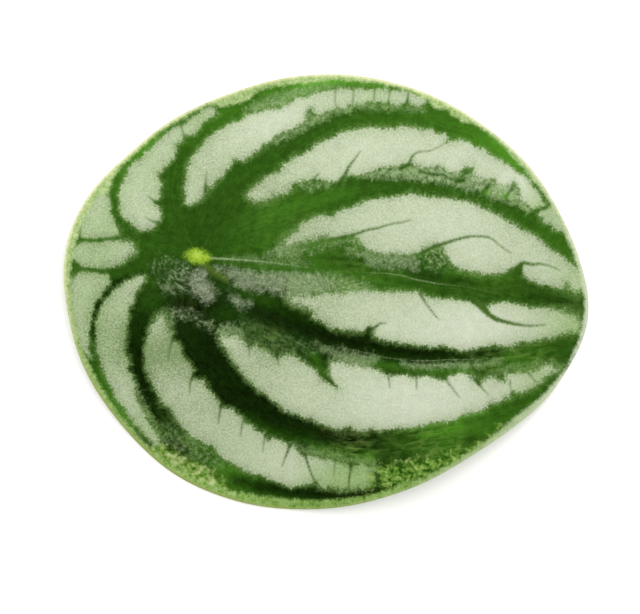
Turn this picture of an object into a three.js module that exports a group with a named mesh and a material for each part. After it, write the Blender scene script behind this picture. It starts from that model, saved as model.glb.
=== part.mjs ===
// A picked leaf of watermelon peperomia, lying face up on a level surface.
//
// The blade is peltate: the petiole joins its underside at a spot well inside the margin, and eleven main
// veins leave that spot and curve out to the margin. The blade is domed, its veins are sunk in the upper
// face and raised on the lower one, and its margin waves so that it stands on three low places.
//
// Millimetres. +X runs from the spot towards the tip, +Z is up, and the origin is under the middle of the
// blade on the surface that it lies on.

import * as THREE from 'three';

// ---- Driving dimensions ----

// Reach of the margin from the origin, every 15 degrees, anticlockwise from +X.
const MARGIN_REACH = [
  44.2, 42.9, 41.1, 39.3, 38.0, 36.9, 36.7, 36.4, 36.9, 38.1, 40.0, 42.7,
  43.9, 42.9, 41.6, 40.4, 39.2, 38.0, 36.5, 36.0, 35.6, 36.4, 38.4, 41.8,
];
const RIPPLE_DEPTH = 0.12;
const RIPPLE_COUNT = 11;

const MIDDLE_THICKNESS = 1.05;
const MARGIN_THICKNESS = 0.75;
const THINNING_POWER = 3;
const RIM_BEVEL = 0.3;
const SLOPE_STEP = 0.5;

const DOME_HEIGHT = 12.0;
const DOME_POWER = 2.1;

// The three directions in which the margin comes down lowest, and how far it rises between them. The soft
// blade then settles by a little, so that a short stretch of margin lies flat at each of the three.
const FOOT_DIRECTIONS = [5, 125, 250];
const MARGIN_LIFTS = [4.2, 3.8, 5.2];
const SETTLING = 1.3;
const SETTLING_BLEND = 0.3;

// Where the petiole joins the blade: a shallow dip above, and a level seat for the petiole below.
const SPOT = [-21.7, 3.2];
const SPOT_DIP = 0.7;
const SPOT_DIP_REACH = 5.0;
const SEAT_DROP = 1.3;
const SEAT_RADIUS = 2.6;
const SEAT_BLEND = 2.0;

// Each main vein, anticlockwise from the midrib: the direction from the origin in which it meets the margin,
// the depth and width of its furrow, and the points that it passes through on its way from the spot.
const VEINS = [
  {
    meets: 3.5, depth: 0.55, width: 1.5,
    through: [[-16, 3.9], [-8, 3.9], [2, 4], [15, 4.4], [28, 4]],
  },
  {
    meets: 9, depth: 0.6, width: 2,
    through: [[-15, 9.3], [-6, 13.4], [3, 17.4], [12, 19.4], [22, 19], [33, 15.4]],
  },
  {
    meets: 43, depth: 0.6, width: 2,
    through: [[-19, 9.5], [-15, 16.6], [-8, 23], [0, 28.8], [10, 31], [20, 30]],
  },
  {
    meets: 103, depth: 0.5, width: 1.7,
    through: [[-25, 8.5], [-27.2, 15], [-25.3, 22.4], [-20, 28.4], [-13, 32]],
  },
  {
    meets: 148, depth: 0.35, width: 1.4,
    through: [[-28, 6], [-33.4, 6.5], [-36.6, 10.6], [-36.4, 15.8]],
  },
  {
    meets: 175, depth: 0.3, width: 1.2,
    through: [[-28, 4.3], [-34, 4.6]],
  },
  {
    meets: 181.6, depth: 0.35, width: 1.3,
    through: [[-28, 1.6], [-34, -0.6]],
  },
  {
    meets: 217, depth: 0.35, width: 1.4,
    through: [[-27.6, 0.2], [-33.6, -2.6], [-37.4, -8], [-37, -14.6]],
  },
  {
    meets: 263, depth: 0.5, width: 1.8,
    through: [[-27, -0.6], [-30.8, -6], [-30.7, -12], [-27, -19.6], [-20, -27.6]],
  },
  {
    meets: 338, depth: 0.7, width: 2.1,
    through: [[-22.4, -2], [-21.2, -8.6], [-14.5, -16], [-4, -22], [8, -23.8], [22, -20.8]],
  },
  {
    meets: 357, depth: 0.65, width: 1.9,
    through: [[-17.6, 0.4], [-8, -4.4], [2, -7.7], [15, -8.8], [29, -6.6]],
  },
];
const FURROW_FADE_START = 0.72;
const RIB_SHARE = 0.7;
const VEIN_BLEND = 4;

// The net of triangles: rings from the middle to the margin, and how near to a vein a corner of the net
// must be, as a share of the ring spacing, to be moved onto it.
const RINGS = 28;
const SNAP_SHARE = 0.4;
const SPREAD_ROUNDS = 8;
const VEIN_SAMPLES = 48;

// The petiole's stub: its clearance is from the surface to its cut end, and its lean is sideways per height.
const STUB_RADIUS = 1.75;
const STUB_FLARE = 2.3;
const STUB_CLEARANCE = 1.1;
const STUB_LEAN = 0.22;
const STUB_CHAMFER = 0.2;
const STUB_SIDES = 28;
const JOIN_GAP = 0.3;

const LEAF_GREEN = 0x3f7022;
const PETIOLE_RED = 0x8a3b30;

// ---- Small helpers ----

const TURN = 2 * Math.PI;
const radians = (degrees) => (degrees * Math.PI) / 180;
const mix = (a, b, share) => a + (b - a) * share;
const wrapped = (value, whole) => ((value % whole) + whole) % whole;

function smoothStep(low, high, value) {
  const share = Math.min(1, Math.max(0, (value - low) / (high - low)));
  return share * share * (3 - 2 * share);
}

// ---- The margin ----

// A smooth curve through the listed reaches, with a faint ripple on it.
function marginReach(angle) {
  const count = MARGIN_REACH.length;
  const place = (wrapped(angle, TURN) / TURN) * count;
  const first = Math.floor(place);
  const share = place - first;
  const listed = (step) => MARGIN_REACH[wrapped(first + step, count)];
  const [before, start, end, after] = [-1, 0, 1, 2].map(listed);
  const bend = 2 * before - 5 * start + 4 * end - after + share * (3 * (start - end) + after - before);
  const smooth = start + 0.5 * share * (end - before + share * bend);
  return smooth + RIPPLE_DEPTH * Math.sin(RIPPLE_COUNT * angle);
}

function marginPoint(degrees) {
  const angle = radians(degrees);
  return [marginReach(angle) * Math.cos(angle), marginReach(angle) * Math.sin(angle)];
}

// Height of the margin: nothing at the three feet, and a smooth rise between each pair of them.
function marginLift(angle) {
  const [firstFoot] = FOOT_DIRECTIONS;
  const degrees = firstFoot + wrapped((angle * 360) / TURN - firstFoot, 360);
  const stops = [...FOOT_DIRECTIONS, firstFoot + 360];
  const span = stops.findLastIndex((stop) => stop <= degrees);
  const share = (degrees - stops[span]) / (stops[span + 1] - stops[span]);
  return MARGIN_LIFTS[span] * Math.sin(Math.PI * share) ** 2;
}

// ---- The veins ----

function veinCurve({ meets, through }) {
  const stops = [SPOT, ...through, marginPoint(meets)].map(([x, y]) => new THREE.Vector3(x, y, 0));
  return new THREE.CatmullRomCurve3(stops, false, 'catmullrom', 0.5);
}

const TRACES = VEINS.map((vein) => veinCurve(vein).getSpacedPoints(VEIN_SAMPLES));

// The nearest place on a vein, and how far off it is.
function nearestOnTrace(x, y, trace) {
  let best = { away: Infinity };
  for (let i = 1; i < trace.length; i += 1) {
    const a = trace[i - 1];
    const b = trace[i];
    const along = ((x - a.x) * (b.x - a.x) + (y - a.y) * (b.y - a.y)) / a.distanceToSquared(b);
    const share = Math.min(1, Math.max(0, along));
    const place = [mix(a.x, b.x, share), mix(a.y, b.y, share)];
    const away = Math.hypot(x - place[0], y - place[1]);
    if (away < best.away) {
      best = { away, place };
    }
  }
  return best;
}

// Depth of the furrows: the deepest vein near a point rules, blended so that no crease shows between two.
function furrowDepth(x, y) {
  const reach = Math.hypot(x, y) / marginReach(Math.atan2(y, x));
  const fade = 1 - smoothStep(FURROW_FADE_START, 1, reach);
  let total = 0;
  VEINS.forEach(({ depth, width }, i) => {
    const away = nearestOnTrace(x, y, TRACES[i]).away / width;
    total += (depth * Math.exp(-away * away)) ** VEIN_BLEND;
  });
  return fade * total ** (1 / VEIN_BLEND);
}

// ---- The blade's two faces ----

// What would reach below the surface lies flat on it, with a short smooth turn up out of it.
function settled(height) {
  const above = height - SETTLING;
  if (above > SETTLING_BLEND) {
    return above;
  }
  return Math.max(0, above + SETTLING_BLEND) ** 2 / (4 * SETTLING_BLEND);
}

function domeHeight(x, y) {
  const angle = Math.atan2(y, x);
  const reach = Math.min(1, Math.hypot(x, y) / marginReach(angle));
  const lift = marginLift(angle);
  const dome = lift + (DOME_HEIGHT - lift) * (1 - reach ** DOME_POWER);
  const fromSpot = Math.hypot(x - SPOT[0], y - SPOT[1]) / SPOT_DIP_REACH;
  return settled(dome - SPOT_DIP * Math.exp(-fromSpot * fromSpot));
}

// Thickness measured straight up, so that it is the real thickness across the sloping blade.
function uprightThickness(x, y) {
  const reach = Math.min(1, Math.hypot(x, y) / marginReach(Math.atan2(y, x)));
  const slopeX = (domeHeight(x + SLOPE_STEP, y) - domeHeight(x - SLOPE_STEP, y)) / (2 * SLOPE_STEP);
  const slopeY = (domeHeight(x, y + SLOPE_STEP) - domeHeight(x, y - SLOPE_STEP)) / (2 * SLOPE_STEP);
  const thickness = mix(MIDDLE_THICKNESS, MARGIN_THICKNESS, reach ** THINNING_POWER);
  return thickness * Math.sqrt(1 + slopeX ** 2 + slopeY ** 2);
}

const SEAT_HEIGHT = domeHeight(...SPOT) - SEAT_DROP;

function lowerHeight(x, y) {
  const ribbed = Math.max(0, domeHeight(x, y) - furrowDepth(x, y) * (1 + RIB_SHARE));
  const fromSpot = Math.hypot(x - SPOT[0], y - SPOT[1]);
  return mix(SEAT_HEIGHT, ribbed, smoothStep(SEAT_RADIUS, SEAT_RADIUS + SEAT_BLEND, fromSpot));
}

function upperHeight(x, y) {
  return domeHeight(x, y) + uprightThickness(x, y) - furrowDepth(x, y);
}

// ---- The net ----

const SECTORS = 6;
const ringStart = (ring) => (ring === 0 ? 0 : 1 + (SECTORS * ring * (ring - 1)) / 2);
const netCorner = (ring, sector, step) => ringStart(ring) + ((sector * ring + step) % (SECTORS * ring || 1));

// The place on a vein that a corner moves to, so that the furrow's bed runs along edges of the net.
function placeOnVein(x, y) {
  const spacing = marginReach(Math.atan2(y, x)) / RINGS;
  const nearest = TRACES.map((trace) => nearestOnTrace(x, y, trace)).sort((a, b) => a.away - b.away)[0];
  return nearest.away < SNAP_SHARE * spacing ? nearest.place : null;
}

function netFaces() {
  const faces = [];
  for (let ring = 1; ring <= RINGS; ring += 1) {
    for (let sector = 0; sector < SECTORS; sector += 1) {
      for (let step = 0; step < ring; step += 1) {
        const outer = netCorner(ring, sector, step);
        const outerNext = netCorner(ring, sector, step + 1);
        const inner = netCorner(ring - 1, sector, step);
        faces.push([inner, outer, outerNext]);
        if (step < ring - 1) {
          faces.push([inner, outerNext, netCorner(ring - 1, sector, step + 1)]);
        }
      }
    }
  }
  return faces;
}

// Corners of the net seen from above: ring after ring, each with six more than the one inside it. Those
// near a vein move onto it, and the rest, inside the last ring, spread themselves evenly between them.
function netPlan(faces) {
  const plan = [[0, 0]];
  for (let ring = 1; ring <= RINGS; ring += 1) {
    for (let step = 0; step < SECTORS * ring; step += 1) {
      const angle = (TURN * step) / (SECTORS * ring);
      const reach = ring === RINGS ? marginReach(angle) - RIM_BEVEL : (marginReach(angle) * ring) / RINGS;
      plan.push([reach * Math.cos(angle), reach * Math.sin(angle)]);
    }
  }
  const free = [];
  for (let corner = 0; corner < ringStart(RINGS - 1); corner += 1) {
    const onVein = placeOnVein(...plan[corner]);
    if (onVein) {
      plan[corner] = onVein;
    } else {
      free.push(corner);
    }
  }
  const neighbours = plan.map(() => new Set());
  faces.forEach((face) => face.forEach((corner) => face.forEach((other) => neighbours[corner].add(other))));
  for (let round = 0; round < SPREAD_ROUNDS; round += 1) {
    for (const corner of free) {
      const around = [...neighbours[corner]];
      plan[corner] = [0, 1].map((axis) => around.reduce((sum, i) => sum + plan[i][axis], 0) / around.length);
    }
  }
  return plan;
}

function bladeGeometry() {
  const faces = netFaces();
  const plan = netPlan(faces);
  const upper = plan.map(([x, y]) => [x, y, upperHeight(x, y)]);
  const lower = plan.map(([x, y]) => [x, y, lowerHeight(x, y)]);
  const count = SECTORS * RINGS;
  const lastRing = ringStart(RINGS);
  const edge = Array.from({ length: count }, (unused, step) => {
    const place = marginPoint((360 * step) / count);
    return [...place, mix(lower[lastRing + step][2], upper[lastRing + step][2], 0.5)];
  });

  const under = upper.length;
  const rim = under + lower.length;
  const below = faces.map(([a, b, c]) => [under + a, under + c, under + b]);
  for (let step = 0; step < count; step += 1) {
    const next = (step + 1) % count;
    const here = lastRing + step;
    const there = lastRing + next;
    faces.push([here, rim + step, rim + next], [here, rim + next, there]);
    below.push([under + here, rim + next, rim + step], [under + here, under + there, rim + next]);
  }

  const places = [...upper, ...lower, ...edge].flat();
  const geometry = new THREE.BufferGeometry();
  geometry.setAttribute('position', new THREE.Float32BufferAttribute(places, 3));
  geometry.setIndex([...faces, ...below].flat());
  geometry.computeVertexNormals();
  return geometry;
}

// ---- The petiole's cut stub ----

// A round stub that widens into the blade and leans towards its base, with both ends level.
function stubGeometry() {
  const top = SEAT_HEIGHT - JOIN_GAP;
  const profile = [
    [0, STUB_CLEARANCE],
    [STUB_RADIUS - STUB_CHAMFER, STUB_CLEARANCE],
    [STUB_RADIUS, STUB_CLEARANCE + STUB_CHAMFER],
    [STUB_RADIUS, mix(STUB_CLEARANCE, top, 0.6)],
    [mix(STUB_RADIUS, STUB_FLARE, 0.4), mix(STUB_CLEARANCE, top, 0.85)],
    [STUB_FLARE, top],
    [0, top],
  ];
  const geometry = new THREE.LatheGeometry(profile.map(([r, z]) => new THREE.Vector2(r, z)), STUB_SIDES);
  geometry.rotateX(Math.PI / 2);
  const lean = new THREE.Matrix4().set(
    1, 0, STUB_LEAN, SPOT[0] - STUB_LEAN * top,
    0, 1, 0, SPOT[1],
    0, 0, 1, 0,
    0, 0, 0, 1,
  );
  geometry.applyMatrix4(lean);
  return geometry;
}

// ---- The leaf ----

const leaf = new THREE.Group();

const blade = new THREE.Mesh(
  bladeGeometry(),
  new THREE.MeshStandardMaterial({ color: LEAF_GREEN, roughness: 0.45, metalness: 0 }),
);
blade.name = 'leaf_blade';

const stub = new THREE.Mesh(
  stubGeometry(),
  new THREE.MeshStandardMaterial({ color: PETIOLE_RED, roughness: 0.5, metalness: 0 }),
);
stub.name = 'petiole_stub';

leaf.add(blade, stub);

export default leaf;
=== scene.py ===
# %% [markdown]
# # A leaf of watermelon peperomia
# This lesson dresses one picked leaf that lies face up. The leaf is a shallow dome as thin as a coin. Eleven
# veins leave a spot near its blunt end and run to the margin, dark green follows each vein, and silver fills
# the space between them.
#
# The solid model arrives as a fixed frame, so the form's sizes below repeat the solid's own. Lengths are
# written in millimetres, because that is how a leaf is measured, and turned into metres once, when a mesh is
# placed.

# %% Load the frame
import math

import bpy
import numpy as np
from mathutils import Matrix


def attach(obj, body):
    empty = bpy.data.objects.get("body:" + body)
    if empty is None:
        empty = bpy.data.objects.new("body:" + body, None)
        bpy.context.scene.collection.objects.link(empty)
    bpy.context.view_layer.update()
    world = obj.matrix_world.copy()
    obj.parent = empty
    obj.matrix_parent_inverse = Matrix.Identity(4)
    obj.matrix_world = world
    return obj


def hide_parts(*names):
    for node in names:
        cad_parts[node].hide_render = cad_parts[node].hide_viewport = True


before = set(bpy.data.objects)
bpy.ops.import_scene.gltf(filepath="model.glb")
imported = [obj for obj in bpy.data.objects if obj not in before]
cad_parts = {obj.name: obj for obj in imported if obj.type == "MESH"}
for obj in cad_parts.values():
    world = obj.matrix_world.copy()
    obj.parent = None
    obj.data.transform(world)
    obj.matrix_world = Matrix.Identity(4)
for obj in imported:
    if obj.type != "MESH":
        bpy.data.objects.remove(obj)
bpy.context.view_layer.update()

MM = 0.001
BODY = "root"

# %% [markdown]
# ## Camera, light and surface
# The leaf lies on a plain white light table and is looked at from straight above. A long lens keeps the
# dome's edge from shrinking. The stage could be lit by a sky alone, but a waxy skin needs something to
# reflect, so one large softbox hangs high beyond the leaf's long side, and a pale world fills the rest.

# %% Camera
# The view is this wide at a level about half-way up the dome, and it is turned a little about its middle.
VIEW_WIDTH = 106.7
VIEW_MIDDLE = (-0.52, -2.53)
VIEW_TURN = 7.0
LENS = 300.0
SENSOR = 36.0
LEVEL_IN_SCALE = 5.0

camera_data = bpy.data.cameras.new("camera")
camera_data.lens = LENS
camera_data.sensor_width = SENSOR
camera_data.clip_start = 0.05
camera_data.clip_end = 20.0
camera = bpy.data.objects.new("camera", camera_data)
bpy.context.scene.collection.objects.link(camera)
camera_height = VIEW_WIDTH * LENS / SENSOR + LEVEL_IN_SCALE
camera.location = (VIEW_MIDDLE[0] * MM, VIEW_MIDDLE[1] * MM, camera_height * MM)
camera.rotation_euler = (0.0, 0.0, math.radians(VIEW_TURN))
bpy.context.scene.camera = camera
print("camera at", [round(v, 3) for v in camera.location], "m")

# %% A function for colours
def linear(hex_colour):
    """Turns an sRGB hex colour into the linear numbers that shaders use."""
    channels = [int(hex_colour[i:i + 2], 16) / 255.0 for i in (1, 3, 5)]
    return tuple(c / 12.92 if c <= 0.04045 else ((c + 0.055) / 1.055) ** 2.4 for c in channels) + (1.0,)


print("dark green in linear light:", [round(v, 3) for v in linear("#2F5A18")])

# %% Functions for shader nodes
def add_node(material, kind, inputs=None, output=0, **settings):
    """Adds a node with its settings, fills its inputs with values or links, and returns one of its outputs.

    Sockets have numbers where names repeat. Math: 0 to 2 are its values. Map Range: 0 is the value, 1 and 2
    the range that it comes from, 3 and 4 the range that it goes to. Mix: 0 is the share, 2 and 3 are its
    numbers, and 6 and 7 its colours, which leave by output 2.
    """
    tree = material.node_tree
    made = tree.nodes.new(kind)
    for name, value in settings.items():
        setattr(made, name, value)
    for socket, value in (inputs or {}).items():
        if isinstance(value, bpy.types.NodeSocket):
            tree.links.new(value, made.inputs[socket])
        else:
            made.inputs[socket].default_value = value
    return made.outputs[output]


def new_material(name):
    """A material with nothing but its main shader, ready to be wired, and that shader."""
    material = bpy.data.materials.new(name)
    material.use_nodes = True
    nodes = material.node_tree.nodes
    nodes.clear()
    skin = nodes.new("ShaderNodeBsdfPrincipled")
    surface = nodes.new("ShaderNodeOutputMaterial")
    material.node_tree.links.new(skin.outputs[0], surface.inputs["Surface"])
    return material, skin


def set_stops(ramp_colour, stops):
    """Gives the colour ramp behind an output its places and colours."""
    ramp = ramp_colour.node.color_ramp
    while len(ramp.elements) < len(stops):
        ramp.elements.new(0.5)
    for element, (place, colour) in zip(ramp.elements, stops):
        element.position = place
        element.color = linear(colour)


print("helpers:", ", ".join(helper.__name__ for helper in (linear, add_node, new_material, set_stops)))

# %% Surface under the leaf
bpy.ops.object.select_all(action="DESELECT")
bpy.ops.mesh.primitive_plane_add(size=3.0)
table = bpy.context.object
table.name = "light_table"
# Opal acrylic lit from within, as a light table is: rough, without a coat, and a little brighter than
# lit card.
table_white, table_skin = new_material("opal_light_table")
table_skin.inputs["Base Color"].default_value = linear("#F7F7F7")
table_skin.inputs["Roughness"].default_value = 0.9
table_skin.inputs["Specular IOR Level"].default_value = 0.1
table_skin.inputs["Emission Color"].default_value = linear("#FFFFFF")
table_skin.inputs["Emission Strength"].default_value = 0.22
table.data.materials.append(table_white)
print("light table:", round(table.dimensions.x, 2), "m wide")

# %% Lights
def add_softbox(name, direction, height, distance, size, power):
    """A flat softbox aimed at the leaf: its bearing from +X, and its angle above the table, in degrees."""
    data = bpy.data.lights.new(name, "AREA")
    data.shape = "RECTANGLE"
    data.size, data.size_y = size
    data.energy = power
    lamp = bpy.data.objects.new(name, data)
    bpy.context.scene.collection.objects.link(lamp)
    turn, tilt = math.radians(direction), math.radians(height)
    lamp.location = (distance * math.cos(turn) * math.cos(tilt), distance * math.sin(turn) * math.cos(tilt),
                     distance * math.sin(tilt))
    lamp.rotation_euler = (0.0, math.pi / 2 - tilt, turn)


add_softbox("high_softbox", 100.0, 66.0, 1.0, (0.9, 0.9), 5.6)
world = bpy.data.worlds.new("pale_studio")
bpy.context.scene.world = world
world.use_nodes = True
world.node_tree.nodes["Background"].inputs["Color"].default_value = linear("#FFFEFA")
world.node_tree.nodes["Background"].inputs["Strength"].default_value = 0.66
bpy.context.scene.view_settings.view_transform = "Standard"

# %% [markdown]
# ## The leaf's form in numbers
# The outline, the dome, the furrows over the veins and the seat for the stalk are the solid's own formulas,
# written again for whole arrays of points. The leaf could be sculpted instead, but then the fine mesh would
# drift away from the solid that stands for it in motion and collision.

# %% Outline of the blade
# Reach of the margin from the middle, every 15 degrees anticlockwise from the tip.
MARGIN_REACH = np.array([
    44.2, 42.9, 41.1, 39.3, 38.0, 36.9, 36.7, 36.4, 36.9, 38.1, 40.0, 42.7,
    43.9, 42.9, 41.6, 40.4, 39.2, 38.0, 36.5, 36.0, 35.6, 36.4, 38.4, 41.8,
])
RIPPLE_DEPTH, RIPPLE_COUNT = 0.12, 11
RIM_INSET = 0.3


def margin_reach(angle):
    """How far the margin is from the middle, for angles in radians."""
    count = len(MARGIN_REACH)
    place = np.mod(angle, 2 * np.pi) / (2 * np.pi) * count
    first = np.floor(place).astype(int)
    share = place - first
    before, start, end, after = (MARGIN_REACH[(first + step) % count] for step in (-1, 0, 1, 2))
    bend = 2 * before - 5 * start + 4 * end - after + share * (3 * (start - end) + after - before)
    smooth = start + 0.5 * share * (end - before + share * bend)
    return smooth + RIPPLE_DEPTH * np.sin(RIPPLE_COUNT * angle)


def margin_point(degrees):
    """The margin's point in one direction."""
    angle = math.radians(degrees)
    reach = float(margin_reach(np.array(angle)))
    return (reach * math.cos(angle), reach * math.sin(angle))


print("blade is", round(float(margin_reach(np.array(0.0)) + margin_reach(np.array(np.pi))), 1), "mm long")

# %% Main veins
SPOT = (-21.7, 3.2)
# Where each vein meets the margin in degrees, its furrow's depth and width, and what it passes through.
VEINS = [
    (3.5, 0.55, 1.5, [(-16, 3.9), (-8, 3.9), (2, 4), (15, 4.4), (28, 4)]),
    (9, 0.6, 2, [(-15, 9.3), (-6, 13.4), (3, 17.4), (12, 19.4), (22, 19), (33, 15.4)]),
    (43, 0.6, 2, [(-19, 9.5), (-15, 16.6), (-8, 23), (0, 28.8), (10, 31), (20, 30)]),
    (103, 0.5, 1.7, [(-25, 8.5), (-27.2, 15), (-25.3, 22.4), (-20, 28.4), (-13, 32)]),
    (148, 0.35, 1.4, [(-28, 6), (-33.4, 6.5), (-36.6, 10.6), (-36.4, 15.8)]),
    (175, 0.3, 1.2, [(-28, 4.3), (-34, 4.6)]),
    (181.6, 0.35, 1.3, [(-28, 1.6), (-34, -0.6)]),
    (217, 0.35, 1.4, [(-27.6, 0.2), (-33.6, -2.6), (-37.4, -8), (-37, -14.6)]),
    (263, 0.5, 1.8, [(-27, -0.6), (-30.8, -6), (-30.7, -12), (-27, -19.6), (-20, -27.6)]),
    (338, 0.7, 2.1, [(-22.4, -2), (-21.2, -8.6), (-14.5, -16), (-4, -22), (8, -23.8), (22, -20.8)]),
    (357, 0.65, 1.9, [(-17.6, 0.4), (-8, -4.4), (2, -7.7), (15, -8.8), (29, -6.6)]),
]


def through_points(stops, steps=6):
    """A smooth line through the stops, as a list of short straight pieces."""
    p = np.array(stops, float)
    p = np.vstack([2 * p[0] - p[1], p, 2 * p[-1] - p[-2]])
    line = []
    for a, b, c, d in zip(p, p[1:], p[2:], p[3:]):
        for t in np.arange(steps) / steps:
            line.append(0.5 * (2 * b + (c - a) * t + (2 * a - 5 * b + 4 * c - d) * t * t
                               + (3 * (b - c) + d - a) * t ** 3))
    return [tuple(q) for q in line] + [tuple(p[-2])]


vein_lines = [through_points([SPOT, *stops, margin_point(meets)]) for meets, depth, width, stops in VEINS]
print("veins:", len(vein_lines), "of", [len(line) for line in vein_lines], "points")

# %% Measuring from lines and loops
def from_line(line, x, y):
    """Distance of each point from a line, which side it is on, and how far along it is."""
    nearest = np.full(x.shape, 1e9)
    side = np.zeros(x.shape)
    along = np.zeros(x.shape)
    passed = 0.0
    for (ax, ay), (bx, by) in zip(line, line[1:]):
        dx, dy = bx - ax, by - ay
        length = math.hypot(dx, dy)
        share = np.clip(((x - ax) * dx + (y - ay) * dy) / length ** 2, 0, 1)
        ex, ey = x - ax - share * dx, y - ay - share * dy
        away = ex * ex + ey * ey
        closer = away < nearest
        nearest[closer] = away[closer]
        side[closer] = np.sign(dx * ey - dy * ex)[closer]
        along[closer] = (passed + share * length)[closer]
        passed += length
    return np.sqrt(nearest), side, along


def inside_loop(loop, x, y):
    """How deep each point is inside a closed loop; outside it the depth is negative."""
    crossed = np.zeros(x.shape, bool)
    for (ax, ay), (bx, by) in zip(loop, loop[1:] + loop[:1]):
        if ay != by:
            crossed ^= ((ay > y) != (by > y)) & (x < ax + (y - ay) * (bx - ax) / (by - ay))
    away = from_line(loop + loop[:1], x, y)[0]
    return np.where(crossed, away, -away)


def smooth_step(low, high, value):
    """Rises smoothly from 0 at low to 1 at high."""
    share = np.clip((value - low) / (high - low), 0, 1)
    return share * share * (3 - 2 * share)


from_midrib = from_line(vein_lines[0], np.array([2.0]), np.array([4.0]))[0]
print("a point on the midrib is", round(float(from_midrib[0]), 3), "mm from it")

# %% Heights of the two faces
DOME_HEIGHT, DOME_POWER = 12.0, 2.1
# The directions in which the margin stands on the table, the first one twice, and its rise between them.
FEET = [5, 125, 250, 365]
LIFTS = [4.2, 3.8, 5.2]
# The soft blade settles, so that a short stretch of its margin lies flat at each foot.
SETTLING, SETTLING_BLEND = 1.3, 0.3
SPOT_DIP, SPOT_DIP_REACH = 0.7, 5.0
MIDDLE_THICKNESS, THINNING, THINNING_POWER = 1.05, 0.3, 3
HALF_STEP = 0.5
SEAT_DROP = 1.3


def dome_height(x, y):
    """Underside of the plain dome, without furrows: it stands on three low stretches of its margin."""
    angle = np.arctan2(y, x)
    degrees = FEET[0] + np.mod(np.degrees(angle) - FEET[0], 360)
    lift = np.zeros(x.shape)
    for low, high, most in zip(FEET, FEET[1:], LIFTS):
        here = (degrees >= low) & (degrees <= high)
        lift = np.where(here, most * np.sin(np.pi * (degrees - low) / (high - low)) ** 2, lift)
    reach = np.minimum(1, np.hypot(x, y) / margin_reach(angle))
    from_spot = np.hypot(x - SPOT[0], y - SPOT[1]) / SPOT_DIP_REACH
    height = lift + (DOME_HEIGHT - lift) * (1 - reach ** DOME_POWER)
    height = height - SPOT_DIP * np.exp(-from_spot ** 2) - SETTLING
    blended = np.maximum(0, height + SETTLING_BLEND) ** 2 / (4 * SETTLING_BLEND)
    return np.where(height > SETTLING_BLEND, height, blended)


def blade_thickness(x, y):
    """Thickness measured straight up, which grows with the slope over a millimetre."""
    reach = np.minimum(1, np.hypot(x, y) / margin_reach(np.arctan2(y, x)))
    slope_x = dome_height(x + HALF_STEP, y) - dome_height(x - HALF_STEP, y)
    slope_y = dome_height(x, y + HALF_STEP) - dome_height(x, y - HALF_STEP)
    upright = np.sqrt(1 + slope_x ** 2 + slope_y ** 2)
    return (MIDDLE_THICKNESS - THINNING * reach ** THINNING_POWER) * upright


seat_height = float(dome_height(np.array([SPOT[0]]), np.array([SPOT[1]]))[0]) - SEAT_DROP
print("the stalk's seat is", round(seat_height, 2), "mm up")
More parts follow.
